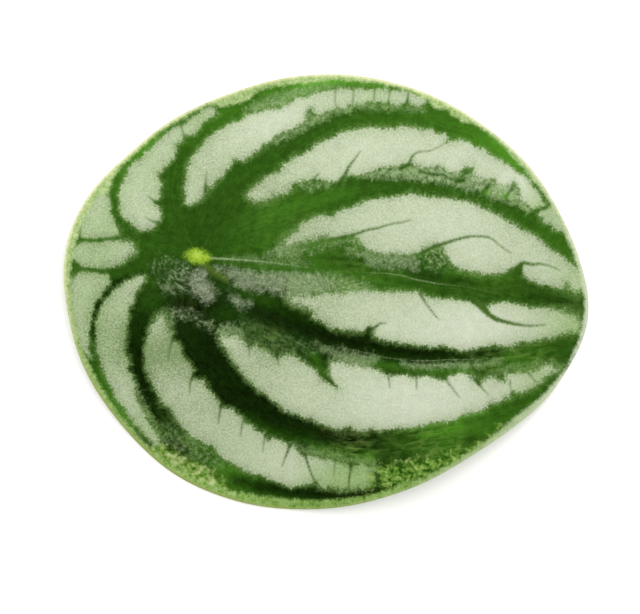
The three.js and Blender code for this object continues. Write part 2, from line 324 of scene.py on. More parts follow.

# %% [markdown]
# ## The pattern of the upper face
# On the real leaf, silver is air trapped under the skin between the veins, and green shows wherever that air
# is missing. The edge of each silver zone is therefore torn and toothed, not drawn. A pattern like this could
# come from distance to the veins alone, but each zone has its own bays and side veins, so the zones are
# outlined one by one here, in the leaf's own millimetres, and the small teeth are left to the material.

# %% Silver zones, anticlockwise between the veins
SILVER_ZONES = {
    "between_veins_3_and_2": [
        (-24.3, 11.6), (-25, 12.1), (-25.4, 14.5), (-25.5, 17.5), (-25, 19), (-24.6, 20.3), (-23.5, 21.8),
        (-22.5, 23.3), (-21.2, 24.6), (-20, 25.5), (-18.8, 26.4), (-17.5, 26.9), (-16.5, 27.9), (-15, 28.7),
        (-13.3, 29.3), (-11.8, 29.6), (-10.4, 30.1), (-9.7, 30.9), (-8.9, 31.7), (-7.2, 32.1), (-5.4, 33.1),
        (-4, 33.6), (-2.5, 34), (-1, 34.3), (2.7, 34.6), (5.1, 34.8), (8.1, 35), (10, 35.1), (12, 34.6),
        (13.4, 33.9), (12.6, 32.8), (11.4, 32.6), (9.9, 33), (8.1, 32.3), (6.5, 32.4), (5.5, 32.6),
        (3.6, 32.4), (2.2, 31.6), (0.6, 31.6), (-0.1, 30.8), (-2, 30.5), (-3.2, 30.1), (-4, 29.2),
        (-5.1, 28.6), (-5.6, 30.2), (-6.3, 30.2), (-6.7, 28.6), (-7.2, 27.1), (-8.6, 26.1), (-10, 25.6),
        (-11, 25), (-12, 23.6), (-13.2, 23), (-14.2, 21.7), (-15.2, 20.9), (-16.2, 20), (-17.6, 20.2),
        (-18.1, 19), (-18.9, 17.8), (-19.3, 16.8), (-20.1, 16.3), (-20.8, 15.2), (-21.6, 15), (-21.8, 14),
        (-22.1, 13), (-23.2, 12.1),
    ],
    "between_veins_2_and_1": [
        (-15, 14.2), (-14.3, 15.6), (-13, 16.8), (-12.2, 17.8), (-11, 18.5), (-10, 19.1), (-9.5, 20.2),
        (-8.4, 21), (-7.6, 21.8), (-6.6, 22.3), (-5.4, 23.2), (-4.4, 24.2), (-3.4, 25), (-2, 25.7),
        (-0.9, 26.5), (0.8, 27.2), (2.5, 27.8), (4, 28.3), (6.4, 28.3), (7, 28.6), (8.3, 28.5), (9.2, 29.1),
        (11.1, 29.1), (12.9, 28.9), (14.2, 29.1), (15, 28.6), (16.7, 28.7), (17.2, 28), (17, 27.3),
        (17.8, 27.6), (19.5, 28), (21, 27.8), (22.3, 27.1), (23.8, 26.8), (24.9, 26.1), (26.5, 25.5),
        (28.2, 24.7), (29.7, 23.9), (31.8, 22.5), (33, 21.5), (33.9, 20.6), (34.7, 19.6), (35.2, 19.1),
        (34.3, 18.6), (33.5, 18.4), (33, 17.9), (32.3, 18), (31.4, 18.6), (30.6, 19), (30.2, 20),
        (30, 21.2), (29, 22.2), (28.3, 21.4), (27.6, 21), (26.4, 21.2), (25.6, 22), (24.6, 21.8),
        (23.6, 21.8), (22.2, 21.9), (22, 22.8), (21.9, 23.6), (20.8, 23.4), (20.1, 22.6), (19.4, 22.2),
        (18, 22.3), (17, 22.7), (16, 22.9), (15.2, 22.5), (14.6, 22.3), (13.5, 22.5), (11.4, 22.8),
        (10.1, 22.7), (9.4, 22.2), (8.1, 21.8), (6.6, 21.5), (5.6, 20.9), (4.2, 20.2), (2.4, 19.7),
        (1.3, 19.6), (0.5, 19.2), (0, 18.6), (-0.5, 18.2), (-2.3, 18.2), (-4.2, 18.4), (-6, 17.6),
        (-7.4, 17.2), (-7.7, 16), (-9, 15.2), (-10.5, 14.5), (-12, 13.7), (-13.5, 13.5),
    ],
    "island_beyond_vein_1": [
        (33.7, 17.3), (34.2, 18), (35.2, 18.6), (36.6, 19.2), (37.9, 17.4), (39, 15.8), (39.6, 14.9),
        (37.4, 14.9), (36.4, 15.2), (36.2, 15.9), (35.2, 15.8), (34.5, 16.2),
    ],
    "between_vein_1_and_midrib": [
        (-8.4, 6.6), (-7.5, 7.8), (-6.7, 9.1), (-5.8, 9.8), (-5.1, 11), (-4, 11.9), (-2.9, 12.4),
        (-1.6, 12.7), (-0.2, 12.7), (0.1, 13.3), (1.3, 14), (2.5, 14.4), (4, 15.3), (5.5, 16.2), (7, 16.7),
        (8.5, 16.8), (10, 17.3), (11.4, 17.9), (12.9, 18.1), (14.8, 17.8), (17.4, 18), (19.5, 18.1),
        (21.3, 17.9), (22.8, 17.8), (24.2, 17.2), (26.1, 16.7), (27.6, 16.2), (29, 15.3), (30.4, 15.1),
        (31.4, 14.5), (32.8, 14), (33.9, 13.7), (35.1, 12.9), (36.6, 12), (38, 11.2), (39.4, 10.5),
        (41.1, 9.6), (41.9, 8.6), (42.6, 7.2), (43.2, 5.8), (41.8, 5.1), (40.5, 5.4), (39.9, 6.5),
        (39.5, 5.6), (38.4, 5.4), (36.6, 5.7), (35.3, 5.6), (34.6, 6), (33.5, 6.1), (32.6, 6.6),
        (32.2, 7.6), (31.4, 8.2), (30.2, 7.6), (29.2, 6.9), (28, 6.5), (26.6, 6.1), (24.9, 6.2),
        (23.5, 6.2), (21.7, 6.5), (20.4, 7), (19.8, 7.8), (19, 8.6), (18.6, 9.6), (17.4, 10), (15.8, 9.2),
        (14.8, 8.5), (13.2, 7.8), (11.2, 7.5), (8.4, 7.3), (6.7, 7.5), (5.6, 7.9), (5, 8.5), (4.6, 9.4),
        (3.4, 9.8), (1.8, 9.3), (0.8, 9), (0, 8.9), (-0.8, 9), (-1.8, 8.7), (-2.9, 8.4), (-3.9, 8),
        (-5.2, 7.6), (-6.6, 6.8), (-7.6, 6.2),
    ],
    "between_midrib_and_vein_10": [
        (-5.4, -1.4), (-4.2, -0.8), (-2, -0.6), (0, 0), (1.6, 0.2), (3.2, 0.6), (4.9, 1), (7, 1.2),
        (10.1, 1.4), (13.6, 1.7), (15.3, 2), (16, 1.5), (17.4, 1.3), (20.5, 1.4), (24, 1.4), (27, 1.1),
        (28.7, 1.7), (30, 1.9), (32.1, 2), (33.5, 1.8), (35, 1.7), (37, 2), (38.7, 1.8), (40, 1.9),
        (41.3, 1.6), (42.5, 1.3), (43.3, 0.4), (43.2, -1.7), (41.8, -1.7), (40.8, -2.1), (39.6, -2.5),
        (38.4, -3.1), (36.6, -3.5), (35.6, -4), (33.9, -4.2), (32.8, -4.7), (31.8, -5.3), (29, -5.3),
        (26.9, -5.8), (26.1, -6.3), (25, -6.7), (23.1, -6.8), (21.6, -6.7), (20.2, -6.4), (18.8, -6.9),
        (15.3, -6.9), (11.9, -6.9), (10.1, -6.7), (8.9, -6.2), (8.7, -5.3), (8, -4.7), (7.4, -5.3),
        (6.3, -5.8), (3.2, -6), (1.5, -5.8), (0.6, -5), (-1, -4.6), (-1.6, -4.4), (-1.5, -3.5),
        (-3.4, -2.8), (-4.9, -2.7), (-6, -2.2),
    ],
    "between_veins_10_and_9": [
        (-15.6, -9), (-14.4, -8.6), (-13.2, -8.9), (-12.4, -9.4), (-11.4, -10.3), (-10.1, -10),
        (-9.1, -10.6), (-7.6, -11.2), (-6.6, -11.8), (-5.6, -11.2), (-4.1, -10.9), (-2.7, -11.6),
        (-1.6, -12.2), (-0.3, -12.8), (0.5, -13.6), (1.3, -14.5), (2.8, -14.9), (3.9, -15.5), (2.7, -14),
        (2.1, -12.8), (2.3, -11.4), (3.5, -10.9), (5.5, -11.1), (9, -11.3), (10.3, -11.8), (12, -12.5),
        (13, -12.2), (15, -11.9), (16.2, -12.3), (18, -11.7), (20, -11.9), (21.7, -12), (22.3, -11.2),
        (23.5, -10.7), (25, -10.5), (26.2, -11.1), (27.2, -12), (27.8, -11.2), (28.7, -10.7), (29.7, -10.8),
        (31.4, -11), (31.6, -10), (33, -9.3), (34.6, -9.2), (35.6, -8.9), (37.1, -8.2), (38, -7.3),
        (39.2, -7.3), (39.8, -7.8), (40.6, -8), (41, -7.8), (40.2, -8.6), (39.4, -9), (38.4, -9.6),
        (37.6, -10.6), (36.8, -11.4), (36, -12), (34.6, -12.7), (33.2, -12.9), (32.8, -13.6), (31.8, -14.1),
        (31.1, -14.8), (30, -14.9), (28.7, -16.2), (27.2, -17), (25.7, -17.3), (24.4, -18.2), (22.9, -18.9),
        (21.6, -19.2), (19.9, -19.5), (18.8, -20.2), (17.5, -20.5), (15.1, -21), (13.2, -21.4),
        (11.7, -21.8), (10.4, -21.6), (9.5, -22.3), (8.2, -22.2), (7, -21.8), (5.2, -22.4), (3.2, -22.2),
        (1.9, -21.8), (0.4, -21.2), (-0.9, -21.2), (-2.6, -20.6), (-4.3, -20.3), (-5.2, -19.7),
        (-6.3, -19.1), (-7.4, -18.2), (-8.9, -17.7), (-10, -16.7), (-11.4, -15.9), (-12.3, -14.9),
        (-13.5, -13.6), (-14.4, -12.9), (-14.8, -11.9), (-15.7, -11), (-16.5, -10.1), (-16.5, -8.6),
    ],
    "between_veins_9_and_8": [
        (-26.3, -6.6), (-25.6, -7.6), (-25, -8.8), (-24.4, -9.9), (-24.2, -11), (-23, -11.4),
        (-22.5, -12.7), (-21.7, -14), (-20.8, -14.5), (-20.1, -15.5), (-20.2, -16.7), (-19.6, -16.9),
        (-18.3, -16.9), (-17.5, -18), (-16.6, -19.1), (-15.5, -19.9), (-14.9, -20.7), (-14.3, -21.2),
        (-13.2, -21), (-12.1, -21.6), (-10.8, -22.7), (-10, -23.3), (-8.6, -24), (-7.1, -24.7),
        (-6.5, -25.6), (-5.8, -25.1), (-4.6, -25.3), (-3.3, -26), (-2.2, -26), (-1.1, -26.8), (-0.2, -27.5),
        (1.5, -27.3), (4.2, -27.5), (6.3, -27.9), (8.2, -28.4), (9.5, -27.5), (11.9, -27.9), (12.4, -28.6),
        (12.1, -30.7), (11.3, -31.4), (9.8, -31.8), (8.2, -32.3), (6.5, -32.5), (5.6, -32.2), (3, -32.6),
        (2.3, -31.5), (1.3, -32.3), (-0.5, -32.7), (-1.8, -33), (-4.1, -32.5), (-5.8, -32), (-7.8, -31.8),
        (-10, -31.2), (-11.5, -30.5), (-13.2, -29.8), (-14.5, -29), (-15.1, -28), (-16.2, -27.7),
        (-17.9, -27.2), (-19.5, -26.6), (-20.3, -25.7), (-21.6, -24.6), (-22.5, -23.4), (-23.3, -22.3),
        (-24.4, -21.9), (-25, -21.3), (-25.5, -20.1), (-26.4, -19.2), (-27.1, -18.1), (-27.9, -16.8),
        (-28.3, -15.4), (-28.6, -13.5), (-28.6, -11.5), (-28.3, -9.7), (-27.7, -8.2), (-27, -6.9),
    ],
    "between_veins_8_and_7": [
        (-29.9, -0.9), (-30.9, -0.9), (-31.8, -1.5), (-32.9, -2), (-33.9, -3), (-34.8, -3.7), (-35.5, -4.8),
        (-36.3, -5.9), (-36.9, -7.2), (-37.2, -8.7), (-37.3, -9.9), (-37, -11.2), (-36.9, -12.7),
        (-36.7, -14.3), (-35.9, -15.7), (-35.4, -17.1), (-34.8, -18.1), (-34.2, -19.2), (-33.3, -20.5),
        (-32.8, -21.6), (-31.3, -23.1), (-30.2, -24.4), (-29.1, -25.5), (-28.1, -26.4), (-26.8, -27.6),
        (-25.3, -29), (-24.6, -29.4), (-24.2, -28.5), (-24.6, -27.3), (-25.4, -26.3), (-26.2, -25.4),
        (-26.8, -24.3), (-27.4, -23.4), (-28.5, -22.1), (-29, -21.1), (-29.4, -20.1), (-29.6, -18.8),
        (-30.1, -17.7), (-31, -16.8), (-30.7, -15.8), (-31.3, -14.7), (-31.95, -13.8), (-31.95, -11.7),
        (-32.05, -10), (-31.95, -8.2), (-31.9, -6.7), (-31.3, -5.2), (-31.1, -3.7), (-30.1, -2),
    ],
    "between_veins_7_and_6": [
        (-42.6, -3.7), (-41.8, -2.2), (-40.8, -1.35), (-39.5, -1.25), (-37.6, -1.45), (-36.1, -1.5),
        (-35.7, -2.6), (-36.3, -3.7), (-37, -5.2), (-37.8, -6.3), (-38.2, -7.8), (-38.3, -8.9),
        (-38.25, -10.4), (-38.3, -11.5), (-38, -12.7), (-37.9, -14.2), (-37.4, -15.7), (-39.3, -14.5),
        (-41.1, -10.6), (-42.4, -7), (-43, -5),
    ],
    "between_veins_6_and_5": [
        (-42.6, 2.7), (-41.3, 3.4), (-39.8, 3.6), (-37.9, 4.05), (-36, 4.45), (-34.5, 4.5), (-33, 4.4),
        (-32.3, 3.5), (-32.1, 2.8), (-32.9, 1.9), (-33.8, 0.9), (-34.9, 0.2), (-36, -0.4), (-37.9, -0.7),
        (-39.4, -0.9), (-40.9, -0.7), (-42.2, 0.4), (-42.9, 1.1),
    ],
    "between_veins_5_and_4": [
        (-42.2, 4.3), (-40.1, 4), (-38.5, 4.2), (-37, 4.6), (-35.3, 5.1), (-35.4, 6.3), (-36.2, 7.5),
        (-37, 8.8), (-37.3, 10.1), (-37.5, 11.2), (-38.1, 12), (-38.8, 13.2), (-40.6, 11), (-42, 8.2),
        (-42.4, 6.3),
    ],
    "between_veins_4_and_3": [
        (-33, 6.9), (-31.9, 6.5), (-30.8, 6.5), (-29.9, 6.9), (-28.6, 8.4), (-28.6, 9.5), (-28.9, 10.6),
        (-30.1, 11.2), (-29.1, 12.3), (-29.3, 13.8), (-29.1, 14.7), (-29.9, 15.9), (-29.1, 17.2),
        (-28.5, 18.1), (-27.6, 19.4), (-27.5, 20.7), (-27.8, 21.5), (-26.7, 22.2), (-26.5, 23.1),
        (-25, 23.3), (-24.6, 24.1), (-24, 25.1), (-23.4, 26), (-22.3, 26.8), (-21.4, 27.4), (-22, 28.6),
        (-23.3, 28.5), (-24.5, 27.5), (-25.6, 26.7), (-27, 25.1), (-28.6, 24.3), (-29.3, 23.6),
        (-30.3, 22.6), (-31.2, 21.5), (-31.9, 20.5), (-32.8, 19.6), (-33, 18.8), (-33.6, 18.3),
        (-34.5, 17.5), (-35.2, 16.6), (-35.5, 15.3), (-35.7, 14), (-36.1, 13.8), (-36.2, 12.1), (-36, 10.4),
        (-35.7, 9.1), (-35.1, 8.2), (-33.8, 7.6),
    ],
}
print("silver zones:", len(SILVER_ZONES), "with", sum(len(loop) for loop in SILVER_ZONES.values()), "corners")

# %% Thin zones, where silver and green mix in grains
# These have only some air under the skin: how much of the ground is silver, how strongly it gathers in
# specks, how grey its wax is, and the outline. Round the spot, below the start of the midrib and in the two
# sheen zones, that grey is painted sheen on the wax, and the light strip in vein 10 is a painted highlight.
THIN_ZONES = {
    # The next four zones are grey wax with painted sheen on it.
    "painted_sheen_on_wax_below_the_spot": (0.74, 0.8, 0.9, [
        (-21.2, 1.6), (-20.3, 1.3), (-19.9, 0.3), (-19.2, -0.6), (-18.5, -1.5), (-17.9, -2.5),
        (-18.2, -3.5), (-19.3, -4.1), (-20.3, -3.8), (-21, -3.1), (-22, -2.4), (-22.9, -1.3), (-23.1, -0.3),
        (-22.2, 0.4)]),
    "painted_sheen_on_wax_left_of_it": (0.26, 1.0, 0.6, [
        (-25.2, 2.1), (-23.5, 1.9), (-22.4, 1), (-23.1, 0), (-23.2, -1.2), (-22.4, -2.4), (-23.5, -2.9),
        (-25, -3.4), (-26.6, -3.3), (-27.7, -2.1), (-27.3, -0.9), (-26.1, 0.3), (-25.3, 1)]),
    "painted_sheen_on_wax_further_left": (0.08, 1.0, 0.5, [
        (-29.6, 1), (-28.2, 2.4), (-26, 2.9), (-25, 2.2), (-26.2, 1), (-27.8, 0.2), (-29.2, -0.6)]),
    "painted_sheen_on_wax_right_of_it": (0.48, 0.7, 0.8, [
        (-15.9, -1.9), (-14.8, -2.1), (-13.5, -2.8), (-12, -3.2), (-12.5, -4.3), (-13.4, -4.6),
        (-14.5, -3.9), (-15.6, -3)]),
    "wisp_over_vein_9": (0.3, 0.9, 0.35, [
        (-25.8, -6.2), (-24.5, -5.8), (-23, -5.5), (-21.5, -5.7), (-20.5, -6.4), (-19.4, -6.8), (-18, -7.1),
        (-17.2, -8), (-18, -8.7), (-19.5, -8.2), (-21, -7.4), (-22.5, -7.2), (-24, -7.8), (-25, -8.9),
        (-25.4, -8)]),
    # The grey in the next two zones is painted sheen on the wax.
    "silver_with_painted_sheen_at_the_midrib_start": (0.68, 0.5, 0.75, [
        (-18.6, 1.9), (-17.5, 2.2), (-15, 2.1), (-12, 2.0), (-9, 2.2), (-6.5, 2.6), (-6, 0.6), (-6.4, -1.2),
        (-8.5, -1.3), (-10, -1), (-12, -1.2), (-14, -0.9), (-15, -0.5), (-16, 0.3), (-17, 1.3)]),
    "thinner_silver_with_painted_sheen_below_the_midrib": (0.75, 0.5, 0.45, [
        (-6.5, 2.7), (-3, 2.9), (0, 2.9), (2, 2.3), (2.6, 0.8), (0, -0.3), (-2, -0.8), (-4.5, -1.6),
        (-6.5, -1.6)]),
    "specks_below_the_midrib": (0.5, 0.7, 0.0, [
        (0, 3.1), (2.6, 3), (4.6, 2.8), (6.4, 2.3), (8.4, 1.7), (7, 0.9), (4.5, 0.6), (1.6, 0)]),
    "sheen_along_the_midrib": (0.3, 0.4, 0.3, [
        (-18, 3.5), (-14, 4.2), (-10, 4.7), (-4.6, 4.8), (-3, 4.3), (-5, 3.6), (-10, 3.4), (-15, 3.2)]),
    "start_of_the_silver_above_the_midrib": (0.5, 0.7, 0.25, [
        (-10.2, 4.9), (-9.6, 6), (-8.2, 7.4), (-6, 7.8), (-4, 7.9), (-2.6, 7.4), (-4.2, 6.2), (-4.4, 5),
        (-6.5, 4.6), (-8.6, 4.5)]),
    "specks_above_the_midrib": (0.28, 0.9, 0.2, [
        (-4.4, 7.2), (-2, 8.3), (0, 8.8), (2, 9.1), (4, 9.6), (5, 8.6), (5.4, 7.4), (4.6, 6.4), (3, 6.6),
        (2.4, 8), (0.5, 7.6), (-1, 7), (-2.6, 6), (-4, 5.4)]),
    "sheen_above_the_midrib": (0.5, 0.7, 0.5, [
        (5, 7.4), (8, 7.5), (11, 7.6), (14, 8), (15.2, 7), (15, 5.6), (12, 5.4), (9, 5.2), (7, 5),
        (6, 5.8)]),
    "specks_left_of_the_island": (0.25, 1.0, 0.0, [
        (14.6, 7.6), (15.6, 9), (17.2, 9.8), (18.6, 9.4), (19.4, 8.2), (20.6, 6.8), (19, 6.2), (16.5, 6)]),
    "above_vein_1": (0.76, 0.7, 0.15, [
        (3.4, 19.8), (5.6, 20.9), (8.1, 21.8), (10.1, 22.7), (13.5, 22.6), (16, 22.9), (19, 22.4),
        (22, 22.4), (25, 22), (28, 21.6), (30, 21.2), (30.4, 19.4), (32.4, 18), (32, 17.4), (30, 18.4),
        (28, 18.9), (26, 19), (24, 19.5), (22, 20), (18, 20.5), (12, 20.4), (8, 20.1)]),
    "bay_in_vein_1": (0.45, 0.8, 0.0, [
        (-6.4, 17.4), (-4.6, 18.6), (-2.3, 18.4), (0, 18.6), (1.4, 19.6), (0.6, 18.2), (-2, 17.5),
        (-4.4, 16.6), (-6, 16.6)]),
    "above_vein_2": (0.42, 0.6, 0.1, [
        (-12.2, 23.6), (-10, 25.8), (-7.2, 27.1), (-6.6, 29.6), (-5.2, 29), (-4, 29.4), (-2, 30.7),
        (0.6, 31.8), (3, 32.6), (6.6, 32.6), (11, 32.8), (12.4, 32), (8, 31.6), (3, 31.2), (0, 30.2),
        (-2.4, 29.2), (-4.4, 28), (-6.4, 26.6), (-9, 25), (-11, 23.6)]),
    "below_vein_3": (0.45, 0.4, 0.0, [
        (-17.2, 28.4), (-15, 30.4), (-12, 32), (-10, 32.8), (-7.5, 33.7), (-5, 34.3), (-2.5, 34.8),
        (-1, 34.5), (-4, 33.6), (-7, 32.2), (-9, 31.6), (-10.4, 30.2), (-13, 29.3), (-15, 28.6)]),
    "below_vein_10": (0.12, 0.3, 0.1, [
        (-13.4, -6), (-10, -6.4), (-7, -7.6), (-4, -8.2), (-1, -8.9), (-0.6, -10), (-3.4, -10.4),
        (-7, -11.4), (-9.6, -10.4), (-12.2, -9.2)]),
    "strip_below_vein_10": (0.45, 0.2, 0.1, [
        (-1, -8.7), (4, -9.1), (9, -9.5), (10.4, -10), (9, -11.3), (5.5, -11.2), (3.5, -10.9), (2.4, -10.2),
        (0, -9.7)]),
    "start_between_veins_10_and_9": (0.55, 0.7, 0.3, [
        (-17, -8.6), (-16.2, -7.4), (-14.8, -6.8), (-13.6, -7.4), (-12.2, -8.6), (-11.6, -9.8), (-13, -9.2),
        (-14.6, -9), (-15.8, -9.6), (-16.8, -10.2)]),
    # A painted highlight on the lower wall of vein 10's furrow.
    "painted_highlight_in_vein_10": (0.42, 0.25, 0.2, [
        (14, -10), (18, -9.8), (22, -9.2), (26, -8.6), (30, -7.7), (31, -8), (28, -9), (24, -9.7),
        (20, -10.2), (15, -10.6)]),
    "end_of_vein_10": (0.3, 0.5, 0.0, [
        (29, -10.6), (31, -8.8), (34, -8), (37, -7), (38.4, -6.5), (40, -7), (41.8, -7), (40.4, -8.4),
        (38, -7.6), (35, -9.2), (32, -9.6)]),
    "below_vein_9": (0.33, 0.3, 0.0, [
        (-2.6, -25.8), (0, -25.8), (4, -26), (8, -26.6), (12, -26.9), (12.4, -28.4), (9.5, -27.6),
        (6, -27.8), (0, -27.4)]),
    "edge_of_vein_8": (0.4, 0.6, 0.0, [
        (-30.4, -18.6), (-29.4, -20.2), (-28.6, -22), (-27.2, -23.6), (-26, -25.4), (-24.4, -27.2),
        (-24, -28.6), (-23.2, -28.8), (-23.4, -27), (-24.8, -25.4), (-26.4, -23.6), (-27.6, -22),
        (-28.6, -20.2)]),
    "flecks_in_vein_8": (0.16, 0.5, 0.0, [
        (-25.4, -25), (-22, -25), (-19, -27), (-16, -28.2), (-13, -30), (-14, -31.4), (-18, -30.4),
        (-21, -28.8), (-24, -27)]),
}
print("thin zones:", len(THIN_ZONES))

# %% Inner edge of the pale rim
RIM_LOOP = [
    (43.4, 0), (43.5, 2.5), (43.1, 4.6), (42.5, 6.2), (41.5, 9), (40.9, 10.6), (40.3, 11.8), (39.6, 12.9),
    (38.9, 14), (38.5, 15), (36.4, 18.3), (35.5, 19.5), (34.6, 20.4), (33.5, 21.6), (32.1, 23),
    (30.7, 24.2), (29.1, 25.7), (27.1, 27.3), (25.2, 28.7), (23.8, 29.6), (22.1, 30.4), (21, 30.8),
    (19.5, 30.8), (18.5, 31.5), (17.4, 31.9), (16.7, 32.7), (15.2, 32.5), (13.9, 33), (13.1, 33.7),
    (10, 34.9), (8, 35.3), (4, 35.6), (0.3, 35.6), (-1.6, 35.5), (-3.8, 35.2), (-6.1, 34.7), (-7.9, 34.2),
    (-10.2, 33.7), (-12, 33.2), (-13.5, 32.8), (-15.2, 32), (-16, 31), (-17, 30.2), (-18.5, 29.4),
    (-20, 28.9), (-21.6, 28.6), (-22.8, 28.9), (-24, 28.2), (-25.8, 27), (-27.7, 25.4), (-29.2, 24.4),
    (-30.7, 23.1), (-32.4, 21.2), (-33.7, 19.8), (-34.8, 18.4), (-36.2, 16.8), (-37.2, 14.8), (-37.6, 13),
    (-38.1, 11.8), (-39.6, 11.2), (-41.1, 8), (-41.9, 5.2), (-42.4, 2), (-42.5, 0), (-42.4, -3),
    (-41.9, -6.2), (-40.8, -10), (-39.7, -12.8), (-38.8, -14.6), (-38.2, -15.6), (-37.4, -16.8),
    (-36.6, -18.1), (-35.3, -19.8), (-34.2, -21.3), (-33.2, -22.5), (-32, -23.9), (-30.6, -25.3),
    (-28.5, -27.3), (-25.8, -29.4), (-24.4, -30.1), (-22.5, -31.2), (-21.2, -32), (-19.9, -32.7),
    (-18, -33.4), (-15.8, -34.1), (-14.5, -34.4), (-13, -34.7), (-11.5, -34.8), (-10, -34.9), (-5.2, -35),
    (-1.8, -35), (0.4, -34.8), (3.2, -34.5), (6, -34), (7.6, -33.6), (10, -33), (12.1, -32.3),
    (13.9, -31.5), (15.8, -30.4), (17.5, -29.7), (20, -28.6), (25, -25.2), (28.5, -22.3), (30.7, -20.2),
    (32, -18.9), (32.8, -18), (33.7, -17.1), (35.1, -15.7), (36.6, -14.3), (38, -12.8), (39.3, -11.2),
    (40.5, -9.3), (41.6, -7.5), (43.2, -2.5),
]
print("rim loop corners:", len(RIM_LOOP))

